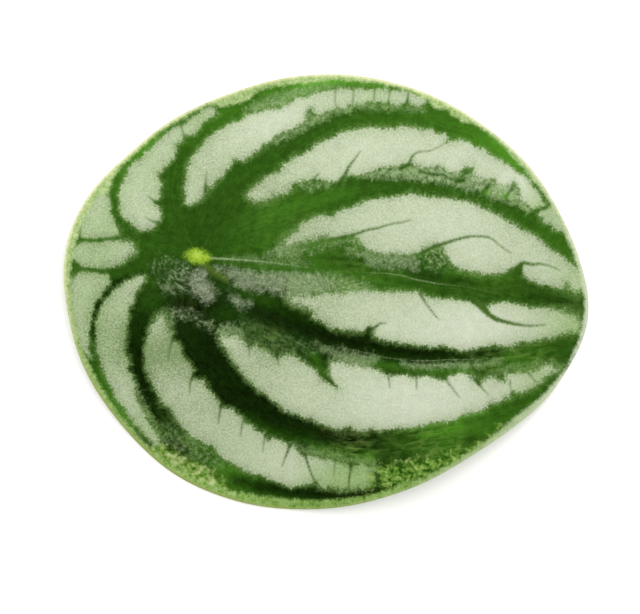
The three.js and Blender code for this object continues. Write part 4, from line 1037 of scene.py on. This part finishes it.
# Streaks of lighter and darker green run with the vein.
streak_way = add_node(top, "ShaderNodeMapping", {"Vector": by_vein, "Scale": (0.25, 2.2, 1)})
streaks = add_node(top, "ShaderNodeTexNoise", {"Vector": streak_way, "Scale": 1.0, "Detail": 3.0})
# Broader smears of olive, 2 mm long and under a millimetre wide, where a band is streaked.
smear_way = add_node(top, "ShaderNodeMapping", {"Vector": by_vein, "Scale": (0.45, 1.3, 1)})
smears = add_node(top, "ShaderNodeTexNoise",
                  {"Vector": smear_way, "Scale": 1.0, "Detail": 5.0, "Roughness": 0.6, "Distortion": 0.3})
# Mealy grain: air cells of about 0.3 mm.
grain = add_node(top, "ShaderNodeTexNoise", {"Vector": in_mm, "Scale": 3.0, "Detail": 2.0, "Roughness": 0.6})
clouds = add_node(top, "ShaderNodeTexNoise", {"Vector": in_mm, "Scale": 0.35, "Detail": 2.0})
print("noises made:", sum(n.bl_idname == "ShaderNodeTexNoise" for n in top.node_tree.nodes))

# %% Torn edges of the silver
fray = add_node(top, "ShaderNodeMapRange", {0: teeth, 1: 0.25, 2: 0.75, 3: -0.26, 4: 0.26})
bay = add_node(top, "ShaderNodeMapRange", {0: bays, 1: 0.25, 2: 0.75, 3: -0.28, 4: 0.28})
fine = add_node(top, "ShaderNodeMapRange", {0: grain, 1: 0.25, 2: 0.75, 3: -0.35, 4: 0.35})
torn = add_node(top, "ShaderNodeMath", {0: fray, 1: bay}, operation="ADD")
frayed = add_node(top, "ShaderNodeMath", {0: torn, 1: fine}, operation="ADD")
# The fraying grows with the strip over which the silver fades, and strokes keep a clean edge.
fray_scale = add_node(top, "ShaderNodeMath", {0: measure["soft"], 1: 1.0, 2: 0.5}, operation="MULTIPLY_ADD")
frayed_more = add_node(top, "ShaderNodeMath", {0: frayed, 1: fray_scale, 2: measure["silver"]},
                       operation="MULTIPLY_ADD")
zone_edge = add_node(top, "ShaderNodeMath", {0: frayed_more, 1: measure["soft"]}, operation="DIVIDE")
stroke_edge = add_node(top, "ShaderNodeMath", {0: fine, 1: 0.6, 2: measure["stroke"]},
                       operation="MULTIPLY_ADD")
stroke_open = add_node(top, "ShaderNodeMapRange", {0: stroke_edge, 1: -0.28, 2: 0.3, 3: 1.0, 4: 0.0},
                       interpolation_type="SMOOTHSTEP")
zone_share = add_node(top, "ShaderNodeMapRange", {0: zone_edge, 1: -0.75, 2: 1.05},
                      interpolation_type="SMOOTHSTEP")
print("edges wired, nodes so far:", len(top.node_tree.nodes))

# %% Specks in the thin zones
# In the thin zones silver shows as specks about half a millimetre wide, fewer where the cover is low.
specks = add_node(top, "ShaderNodeTexNoise",
                  {"Vector": in_mm, "Scale": 1.4, "Detail": 4.0, "Roughness": 0.75})
# Near the spot they are drawn out into arcs round it.
arc_way = add_node(top, "ShaderNodeCombineXYZ", {0: measure["from_seat"], 1: measure["turn"]})
arcs = add_node(top, "ShaderNodeTexNoise",
                {"Vector": arc_way, "Scale": 2.0, "Detail": 4.0, "Roughness": 0.65})
arc_share = add_node(top, "ShaderNodeMapRange", {0: measure["from_seat"], 1: 7.0, 2: 11.0, 3: 0.75, 4: 0.0})
specks = add_node(top, "ShaderNodeMix", {0: arc_share, 2: specks, 3: arcs})
thin_fray = add_node(top, "ShaderNodeMath", {0: torn, 1: 1.7, 2: measure["thin"]}, operation="MULTIPLY_ADD")
thin_fray = add_node(top, "ShaderNodeMath", {0: fine, 1: 0.7, 2: thin_fray}, operation="MULTIPLY_ADD")
thin_share = add_node(top, "ShaderNodeMapRange", {0: thin_fray, 1: -0.8, 2: 0.9},
                      interpolation_type="SMOOTHSTEP")
speckled = add_node(top, "ShaderNodeMapRange", {0: specks, 1: 0.3, 2: 0.7, 3: -0.9, 4: 0.9}, clamp=False)
speckled = add_node(top, "ShaderNodeMath", {0: speckled, 1: measure["clumped"], 2: measure["cover"]},
                    operation="MULTIPLY_ADD", use_clamp=True)
thin_share = add_node(top, "ShaderNodeMath", {0: thin_share, 1: speckled}, operation="MULTIPLY")
print("specks wired, nodes so far:", len(top.node_tree.nodes))

# %% All the silver together, and the rim's edge
silver_share = add_node(top, "ShaderNodeMath", {0: zone_share, 1: thin_share}, operation="MAXIMUM")
silver_share = add_node(top, "ShaderNodeMath", {0: silver_share, 1: stroke_open}, operation="MULTIPLY")
rim_fray = add_node(top, "ShaderNodeMath", {0: frayed, 1: 0.45, 2: measure["rim"]}, operation="MULTIPLY_ADD")
rim_share = add_node(top, "ShaderNodeMapRange", {0: rim_fray, 1: -0.3, 2: 0.5},
                     interpolation_type="SMOOTHSTEP")
print("silver and rim wired, nodes so far:", len(top.node_tree.nodes))

# %% Green of the bands
grain_light = add_node(top, "ShaderNodeMapRange", {0: grain, 1: 0.0, 2: 1.0, 3: -0.5, 4: 0.5})
streaked = add_node(top, "ShaderNodeMapRange", {0: streaks, 1: 0.3, 2: 0.7, 3: -0.035, 4: 0.035})
smeared = add_node(top, "ShaderNodeMapRange", {0: smears, 1: 0.35, 2: 0.65, 3: -0.16, 4: 0.16})
streaked = add_node(top, "ShaderNodeMath", {0: smeared, 1: measure["streaky"], 2: streaked},
                    operation="MULTIPLY_ADD")
flecked = add_node(top, "ShaderNodeMapRange", {0: bays, 1: 0.3, 2: 0.7, 3: -0.05, 4: 0.05})
tone = add_node(top, "ShaderNodeMath", {0: streaked, 1: flecked}, operation="ADD")
tone = add_node(top, "ShaderNodeMath", {0: grain_light, 1: 0.25, 2: tone}, operation="MULTIPLY_ADD")
tone = add_node(top, "ShaderNodeMath", {0: tone, 1: measure["green"]}, operation="ADD")
green_ramp = add_node(top, "ShaderNodeValToRGB", {0: tone})
set_stops(green_ramp, [(0.0, "#0B1702"), (0.2, "#183207"), (0.4, "#2C5211"), (0.6, "#3F701A"),
                       (0.8, "#4F8A22"), (1.0, "#66A034")])
olive_share = add_node(top, "ShaderNodeMapRange", {0: smears, 1: 0.4, 2: 0.7, 3: 0.0, 4: 0.75},
                       interpolation_type="SMOOTHSTEP")
olive_share = add_node(top, "ShaderNodeMath", {0: olive_share, 1: measure["streaky"]}, operation="MULTIPLY")
# Between green and silver the air cells thin out, and a softer green shows in a fringe about a millimetre
# wide, less so beside the strokes.
fringe_share = add_node(top, "ShaderNodeMapRange", {0: zone_edge, 1: -2.6, 2: 0.3, 3: 0.0, 4: 0.45},
                        interpolation_type="SMOOTHSTEP")
beside_strokes = add_node(top, "ShaderNodeMapRange", {0: stroke_open, 3: 0.3, 4: 1.0})
fringe_share = add_node(top, "ShaderNodeMath", {0: fringe_share, 1: beside_strokes}, operation="MULTIPLY")
# Side veins well inside the silver have some air over them too, so they are a softer, yellower green.
vein_tint = add_node(top, "ShaderNodeMapRange", {0: measure["silver"], 1: 0.2, 2: 1.2, 3: 0.0, 4: 0.25},
                     interpolation_type="SMOOTHSTEP")
band_colour = green_ramp
for share, tint in ((olive_share, "#738C44"), (fringe_share, "#6C9048"), (vein_tint, "#66802F")):
    band_colour = add_node(top, "ShaderNodeMix", {0: share, 6: band_colour, 7: linear(tint)}, 2,
                           data_type="RGBA")
print("band colour wired, nodes so far:", len(top.node_tree.nodes))

# %% Silver, its grain and its greener places
# Where the silver is dull its grain stands out more.
grain_weight = add_node(top, "ShaderNodeMath", {0: measure["light"], 1: -0.6, 2: 0.95},
                        operation="MULTIPLY_ADD")
silver_light = add_node(top, "ShaderNodeMath", {0: measure["light"], 1: 0.45, 2: 0.5},
                        operation="MULTIPLY_ADD")
silver_light = add_node(top, "ShaderNodeMath", {0: grain_light, 1: grain_weight, 2: silver_light},
                        operation="MULTIPLY_ADD")
# Painted light and shade of the quilting between the small veins: the silver is a little lighter and darker
# every few millimetres.
painted_quilt_shading = add_node(top, "ShaderNodeMapRange", {0: clouds, 1: 0.3, 2: 0.7, 3: -0.05, 4: 0.09})
painted_quilt_shading_fine = add_node(top, "ShaderNodeMapRange", {0: bays, 1: 0.3, 2: 0.7, 3: -0.05, 4: 0.05})
silver_light = add_node(top, "ShaderNodeMath", {0: silver_light, 1: painted_quilt_shading}, operation="ADD")
silver_light = add_node(top, "ShaderNodeMath", {0: silver_light, 1: painted_quilt_shading_fine}, operation="ADD")
silver_ramp = add_node(top, "ShaderNodeValToRGB", {0: silver_light})
set_stops(silver_ramp, [(0.0, "#7F9365"), (0.5, "#BAC7A8"), (1.0, "#E2E7D6")])
leafy_ramp = add_node(top, "ShaderNodeValToRGB", {0: silver_light})
set_stops(leafy_ramp, [(0.0, "#6F9150"), (0.5, "#9DB87C"), (1.0, "#C6D9AC")])
cloud_share = add_node(top, "ShaderNodeMapRange", {0: clouds, 1: 0.3, 2: 0.7, 3: -0.12, 4: 0.22})
only_thin = add_node(top, "ShaderNodeMath", {0: 1.0, 1: zone_share}, operation="SUBTRACT")
greener_share = add_node(top, "ShaderNodeMath", {0: only_thin, 1: 0.7, 2: measure["greener"]},
                         operation="MULTIPLY_ADD")
greener_share = add_node(top, "ShaderNodeMath", {0: greener_share, 1: cloud_share}, operation="ADD",
                         use_clamp=True)
silver_colour = add_node(top, "ShaderNodeMix", {0: greener_share, 6: silver_ramp, 7: leafy_ramp}, 2,
                         data_type="RGBA")
# Over thin silver the wax is a warmer grey, and round the spot and along the midrib that grey is
# painted sheen.
wax_and_painted_sheen_ramp = add_node(top, "ShaderNodeValToRGB", {0: silver_light})
set_stops(wax_and_painted_sheen_ramp, [(0.0, "#78846A"), (0.5, "#A2AA92"), (1.0, "#CCD0C0")])
wax_and_painted_sheen_share = add_node(top, "ShaderNodeMath", {0: only_thin, 1: measure["grey"]}, operation="MULTIPLY")
silver_colour = add_node(top, "ShaderNodeMix", {0: wax_and_painted_sheen_share, 6: silver_colour, 7: wax_and_painted_sheen_ramp}, 2,
                         data_type="RGBA")
print("silver colour wired, nodes so far:", len(top.node_tree.nodes))

# %% Mottled places
# Silver and green mix here in clumps about a millimetre wide.
mottle_noise = add_node(top, "ShaderNodeTexNoise",
                        {"Vector": in_mm, "Scale": 0.9, "Detail": 5.0, "Roughness": 0.65})
mottle_tone = add_node(top, "ShaderNodeMath", {0: measure["light"], 1: 0.1, 2: mottle_noise},
                       operation="MULTIPLY_ADD")
mottle_ramp = add_node(top, "ShaderNodeValToRGB", {0: mottle_tone})
set_stops(mottle_ramp, [(0.36, "#254C0B"), (0.43, "#557E2A"), (0.51, "#7B9D44"), (0.61, "#A6BA78"),
                        (0.70, "#BCCB98")])
mottle_fray = add_node(top, "ShaderNodeMapRange", {0: mottle_noise, 1: 0.3, 2: 0.7, 3: -0.8, 4: 0.8})
mottle_edge = add_node(top, "ShaderNodeMath", {0: measure["mottled"], 1: mottle_fray}, operation="ADD")
mottle_edge = add_node(top, "ShaderNodeMath", {0: torn, 1: 1.5, 2: mottle_edge}, operation="MULTIPLY_ADD")
mottle_share = add_node(top, "ShaderNodeMapRange", {0: mottle_edge, 1: -0.9, 2: 0.9},
                        interpolation_type="SMOOTHSTEP")
mottle_share = add_node(top, "ShaderNodeMath", {0: mottle_share, 1: stroke_open}, operation="MULTIPLY")
print("mottled places wired, nodes so far:", len(top.node_tree.nodes))

# %% The pale rim
# The last half millimetre is the see-through edge of the blade, paler and yellower than the rim inside it.
edge_line = add_node(top, "ShaderNodeMapRange", {0: measure["margin"], 1: 0.15, 2: 0.6, 3: 0.55, 4: 0.0},
                     interpolation_type="SMOOTHSTEP")
edge_line = add_node(top, "ShaderNodeMath", {0: edge_line, 1: measure["rim_pale"]}, operation="MULTIPLY")
rim_tone = add_node(top, "ShaderNodeMath", {0: frayed, 1: 0.4, 2: edge_line}, operation="MULTIPLY_ADD")
rim_tone = add_node(top, "ShaderNodeMath", {0: measure["rim_pale"], 1: 0.55, 2: rim_tone},
                    operation="MULTIPLY_ADD")
rim_clumps = add_node(top, "ShaderNodeMapRange", {0: specks, 1: 0.3, 2: 0.7, 3: -0.28, 4: 0.28})
rim_tone = add_node(top, "ShaderNodeMath", {0: rim_clumps, 1: measure["rim_pale"], 2: rim_tone},
                    operation="MULTIPLY_ADD")
rim_ramp = add_node(top, "ShaderNodeValToRGB", {0: rim_tone})
set_stops(rim_ramp, [(0.0, "#4F7A24"), (0.25, "#86A957"), (0.5, "#AAC285"), (0.75, "#C6D498"),
                     (1.0, "#E6E8B8")])
rim_colour = add_node(top, "ShaderNodeMix", {0: measure["rim_grey"], 6: rim_ramp, 7: linear("#C8D3B8")}, 2,
                      data_type="RGBA")
olive_line = add_node(top, "ShaderNodeMapRange", {0: measure["margin"], 1: 0.25, 2: 0.65, 3: 0.85, 4: 0.0},
                      interpolation_type="SMOOTHSTEP")
olive_line = add_node(top, "ShaderNodeMath", {0: olive_line, 1: measure["rim_olive"]}, operation="MULTIPLY")
print("rim wired, nodes so far:", len(top.node_tree.nodes))

# %% Threads, painted highlights along the creases, and the spot
thread_share = add_node(top, "ShaderNodeMapRange", {0: measure["thread"], 1: -0.45, 2: 0.2, 3: 0.0, 4: 0.3},
                        interpolation_type="SMOOTHSTEP")
# The pale line along the creases is a painted highlight.
crease_edge = add_node(top, "ShaderNodeMath", {0: fine, 1: 0.15, 2: measure["crease"]},
                       operation="MULTIPLY_ADD")
crease_share = add_node(top, "ShaderNodeMapRange", {0: crease_edge, 1: -0.2, 2: 0.12, 3: 0.0, 4: 0.75},
                        interpolation_type="SMOOTHSTEP")
spot_tone = add_node(top, "ShaderNodeMath", {0: frayed, 1: 0.9, 2: measure["spot"]}, operation="MULTIPLY_ADD")
spot_ramp = add_node(top, "ShaderNodeValToRGB", {0: spot_tone})
set_stops(spot_ramp, [(0.0, "#B6D25A"), (0.5, "#9ABC38"), (1.0, "#71962A")])
spot_edge = add_node(top, "ShaderNodeMath", {0: frayed, 1: 0.5, 2: measure["spot"]}, operation="MULTIPLY_ADD")
spot_share = add_node(top, "ShaderNodeMapRange", {0: spot_edge, 1: 0.65, 2: 1.25, 3: 1.0, 4: 0.0},
                      interpolation_type="SMOOTHSTEP")
print("threads, creases and spot wired, nodes so far:", len(top.node_tree.nodes))

# %% Lay the parts of the pattern over one another
layers = [(silver_share, silver_colour), (mottle_share, mottle_ramp), (rim_share, rim_colour),
          (olive_line, linear("#8A9A42")), (thread_share, linear("#809C40")),
          (crease_share, linear("#A4B584")), (spot_share, spot_ramp)]
colour = band_colour
for share, over in layers:
    colour = add_node(top, "ShaderNodeMix", {0: share, 6: colour, 7: over}, 2, data_type="RGBA")
top.node_tree.links.new(colour, top_skin.inputs["Base Color"])
print("layers over the green bands:", len(layers))

# %% Shine and bump of the upper skin
rough = add_node(top, "ShaderNodeMapRange", {0: silver_share, 3: 0.4, 4: 0.6})
top.node_tree.links.new(rough, top_skin.inputs["Roughness"])
# The mirror part is held well below a plain dielectric's, so that the dark greens stay dark.
top_skin.inputs["IOR"].default_value = 1.45
top_skin.inputs["Specular IOR Level"].default_value = 0.012
grain_height = add_node(top, "ShaderNodeMath", {0: grain, 1: silver_share}, operation="MULTIPLY")
ripples = add_node(top, "ShaderNodeMath", {0: streaks, 1: 0.6, 2: grain_height}, operation="MULTIPLY_ADD")
bump = add_node(top, "ShaderNodeBump", {"Height": ripples, "Strength": 0.5, "Distance": 0.00008})
top.node_tree.links.new(bump, top_skin.inputs["Normal"])
blade.data.materials.append(top)
print("upper skin ready:", len(top.node_tree.nodes), "nodes")

# %% [markdown]
# ## The skin of the underside
# Below, the blade is pale and matt, with the veins standing out as ribs that are flushed red near the stalk.
# A second material on the same skin is enough, because both faces meet inside the rounded rim.

# %% Underside material
# Living leaf skin without the wax: pale, matt and finely pored.
under, under_skin = new_material("matt_pale_leaf_underside")
measure = {name: add_node(under, "ShaderNodeAttribute", None, "Fac", attribute_name=name)
           for name in UNDER_MEASURES}
place_on_piece = add_node(under, "ShaderNodeTexCoord", None, "Object")
in_mm = add_node(under, "ShaderNodeMapping", {"Vector": place_on_piece, "Scale": (1000, 1000, 1000)})
# Real pores are too fine to show, so they are drawn 0.4 mm apart.
pores = add_node(under, "ShaderNodeTexNoise", {"Vector": in_mm, "Scale": 2.4, "Detail": 3.0})
pale_ramp = add_node(under, "ShaderNodeValToRGB", {0: pores})
set_stops(pale_ramp, [(0.3, "#93A877"), (0.5, "#A7BA8B"), (0.7, "#BACA9F")])
rib_edge = add_node(under, "ShaderNodeMath", {0: pores, 1: 0.8, 2: measure["vein"]}, operation="MULTIPLY_ADD")
rib_share = add_node(under, "ShaderNodeMapRange", {0: rib_edge, 1: 0.7, 2: 1.5, 3: 0.85, 4: 0.0},
                     interpolation_type="SMOOTHSTEP")
flush = add_node(under, "ShaderNodeMapRange", {0: measure["spot"], 1: 1.0, 2: 9.0, 3: 0.0, 4: 1.0})
rib_ramp = add_node(under, "ShaderNodeValToRGB", {0: flush})
set_stops(rib_ramp, [(0.0, "#9A4A3C"), (0.5, "#A98A62"), (1.0, "#B9C794")])
colour = add_node(under, "ShaderNodeMix", {0: rib_share, 6: pale_ramp, 7: rib_ramp}, 2, data_type="RGBA")
under.node_tree.links.new(colour, under_skin.inputs["Base Color"])
under_skin.inputs["Roughness"].default_value = 0.6
bump = add_node(under, "ShaderNodeBump", {"Height": pores, "Strength": 0.4, "Distance": 0.0001})
under.node_tree.links.new(bump, under_skin.inputs["Normal"])
blade.data.materials.append(under)
print("underside ready:", len(under.node_tree.nodes), "nodes")

# %% [markdown]
# ## The stalk's stub
# The leaf was picked, so a short stub of its stalk is left below the spot: round, dull red, a little fleshy,
# leaning to the blunt end, with a wet pale cut. A cylinder would do for the shaft, but the stub widens where
# it joins the blade, so a circle is extruded upwards ring by ring and each ring is scaled.

# %% Rings of the stub
STUB_RADIUS, STUB_FLARE, STUB_CLEARANCE, STUB_LEAN = 1.75, 2.3, 1.1, 0.22
STUB_SIDES = 64
CUT_RADIUS, CHAMFER = 1.4, 0.2
# The shaft ends just below the blade, and its last rings run into the blade, as the two have grown together.
JOIN_GAP, JOIN_DEPTH = 0.3, 0.08
stub_top = seat_height - JOIN_GAP
join_top = seat_height + JOIN_DEPTH


def at_share(low, high, share):
    """The value a share of the way from low to high."""
    return low + (high - low) * share


# Height and radius of each ring, from the cut upwards.
shaft_foot = STUB_CLEARANCE + CHAMFER
rings = [(STUB_CLEARANCE + 0.02, 1.52), (STUB_CLEARANCE + 0.07, 1.65), (shaft_foot, STUB_RADIUS)]
rings += [(at_share(shaft_foot, stub_top, share), at_share(STUB_RADIUS, STUB_FLARE, share ** 4))
          for share in np.linspace(0.1, 1.0, 12)]
rings += [(at_share(stub_top, join_top, 0.6), 2.42), (join_top, 2.6)]
print("rings:", len(rings), "up to", round(join_top, 2), "mm")

# %% Stub mesh
bpy.ops.object.select_all(action="DESELECT")
bpy.ops.mesh.primitive_circle_add(vertices=STUB_SIDES, radius=CUT_RADIUS * MM, fill_type="NOTHING",
                                  location=(0, 0, STUB_CLEARANCE * MM))
stub = bpy.context.object
stub.name = stub.data.name = "stalk_stub"
bpy.ops.object.transform_apply(location=True, rotation=True, scale=True)
bpy.ops.object.mode_set(mode="EDIT")
bpy.ops.mesh.select_all(action="SELECT")
height, radius_now = STUB_CLEARANCE, CUT_RADIUS
for next_height, next_radius in rings:
    grow = next_radius / radius_now
    bpy.ops.mesh.extrude_edges_move(TRANSFORM_OT_translate={"value": (0, 0, (next_height - height) * MM)})
    bpy.ops.transform.resize(value=(grow, grow, 1), center_override=(0, 0, next_height * MM))
    height, radius_now = next_height, next_radius
bpy.ops.mesh.fill_grid(span=STUB_SIDES // 4)
bpy.ops.object.mode_set(mode="OBJECT")
print("stub corners:", len(stub.data.vertices))

# %% Cut end: a shallow dished face
CUT_RING_WIDTH, CUT_RING_RISE = 0.2, 0.02
select_border(stub)
for cut_radius in (1.2, 1.0, 0.8, 0.6, 0.4, 0.2):
    shrink = cut_radius / (cut_radius + CUT_RING_WIDTH)
    bpy.ops.mesh.extrude_edges_move(TRANSFORM_OT_translate={"value": (0, 0, 0)})
    bpy.ops.transform.resize(value=(shrink, shrink, 1), center_override=(0, 0, STUB_CLEARANCE * MM))
    bpy.ops.transform.translate(value=(0, 0, CUT_RING_RISE * MM))
bpy.ops.mesh.edge_face_add()
bpy.ops.mesh.poke()
bpy.ops.mesh.select_all(action="SELECT")
bpy.ops.mesh.quads_convert_to_tris()
bpy.ops.mesh.normals_make_consistent(inside=False)
bpy.ops.object.mode_set(mode="OBJECT")
print("stub closed:", len(stub.data.polygons), "faces")

# %% Ridges and lean of the stub
RIDGE_COUNT, RIDGE_SHARE = 9, 0.012
NOT_THE_CUT = 9.0
count = len(stub.data.vertices)
place = np.empty(count * 3)
stub.data.vertices.foreach_get("co", place)
place = place.reshape(count, 3)
turn = np.arctan2(place[:, 1], place[:, 0])
wide = np.hypot(place[:, 0], place[:, 1]) / MM
# The shaft has faint ridges, which fade out on the cut.
ridge = 1 + RIDGE_SHARE * np.sin(RIDGE_COUNT * turn) * smooth_step(1.0, 1.7, wide)
tall = place[:, 2] / MM
place[:, 0] = place[:, 0] * ridge + (SPOT[0] + STUB_LEAN * (tall - stub_top)) * MM
place[:, 1] = place[:, 1] * ridge + SPOT[1] * MM
stub.data.vertices.foreach_set("co", place.ravel())
layer = stub.data.attributes.new("from_core", "FLOAT", "POINT")
is_cut = tall < STUB_CLEARANCE + CHAMFER - 0.01
layer.data.foreach_set("value", np.where(is_cut, wide, NOT_THE_CUT).astype(np.float32))
stub.data.update()
bpy.ops.object.shade_smooth_by_angle(angle=math.radians(40))
print("stub reaches from", round(float(tall.min()), 2), "to", round(float(tall.max()), 2), "mm")

# %% Stub material
# Fleshy leaf stalk: a thin waxy skin, wine red from its sap, over pale watery flesh.
stalk, stalk_skin = new_material("fleshy_red_leaf_stalk")
place_on_piece = add_node(stalk, "ShaderNodeTexCoord", None, "Object")
# Fibres run up the stalk, half a millimetre wide and 4 mm long.
long_way = add_node(stalk, "ShaderNodeMapping", {"Vector": place_on_piece, "Scale": (1800, 1800, 250)})
fibres = add_node(stalk, "ShaderNodeTexNoise", {"Vector": long_way, "Scale": 1.0, "Detail": 3.0})
red_ramp = add_node(stalk, "ShaderNodeValToRGB", {0: fibres})
set_stops(red_ramp, [(0.3, "#6E2C26"), (0.5, "#8A3F33"), (0.72, "#A5604A")])
# Cells of the flesh are too fine to show, so they are drawn 0.25 mm wide.
core = add_node(stalk, "ShaderNodeAttribute", None, "Fac", attribute_name="from_core")
in_mm = add_node(stalk, "ShaderNodeMapping", {"Vector": place_on_piece, "Scale": (1000, 1000, 1000)})
cells = add_node(stalk, "ShaderNodeTexNoise", {"Vector": in_mm, "Scale": 4.0, "Detail": 2.0})
cut_place = add_node(stalk, "ShaderNodeMath", {0: cells, 1: 0.35, 2: core}, operation="MULTIPLY_ADD")
cut_scaled = add_node(stalk, "ShaderNodeMath", {0: cut_place, 1: 0.5}, operation="MULTIPLY")
cut_ramp = add_node(stalk, "ShaderNodeValToRGB", {0: cut_scaled})
set_stops(cut_ramp, [(0.0, "#C9D3A4"), (0.45, "#B9C68F"), (0.58, "#8E9C5E"), (0.68, "#BCC58F"),
                     (0.86, "#A5765A")])
is_skin = add_node(stalk, "ShaderNodeMapRange", {0: core, 1: 1.5, 2: 1.75})
colour = add_node(stalk, "ShaderNodeMix", {0: is_skin, 6: cut_ramp, 7: red_ramp}, 2, data_type="RGBA")
stalk.node_tree.links.new(colour, stalk_skin.inputs["Base Color"])
stalk_skin.inputs["Roughness"].default_value = 0.42
bump = add_node(stalk, "ShaderNodeBump", {"Height": fibres, "Strength": 0.5, "Distance": 0.0001})
stalk.node_tree.links.new(bump, stalk_skin.inputs["Normal"])
stub.data.materials.append(stalk)
print("stalk material ready:", len(stalk.node_tree.nodes), "nodes")

# %% [markdown]
# ## Hand the pieces over
# Both pieces move with the one body that the leaf has. Each stands for its solid, which stays in the motion
# model.

# %% Ride and replace
for piece, node, slot in ((blade, "leaf_blade", "blade_skin"), (stub, "petiole_stub", "stalk_skin")):
    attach(piece, BODY)
    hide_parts(node)
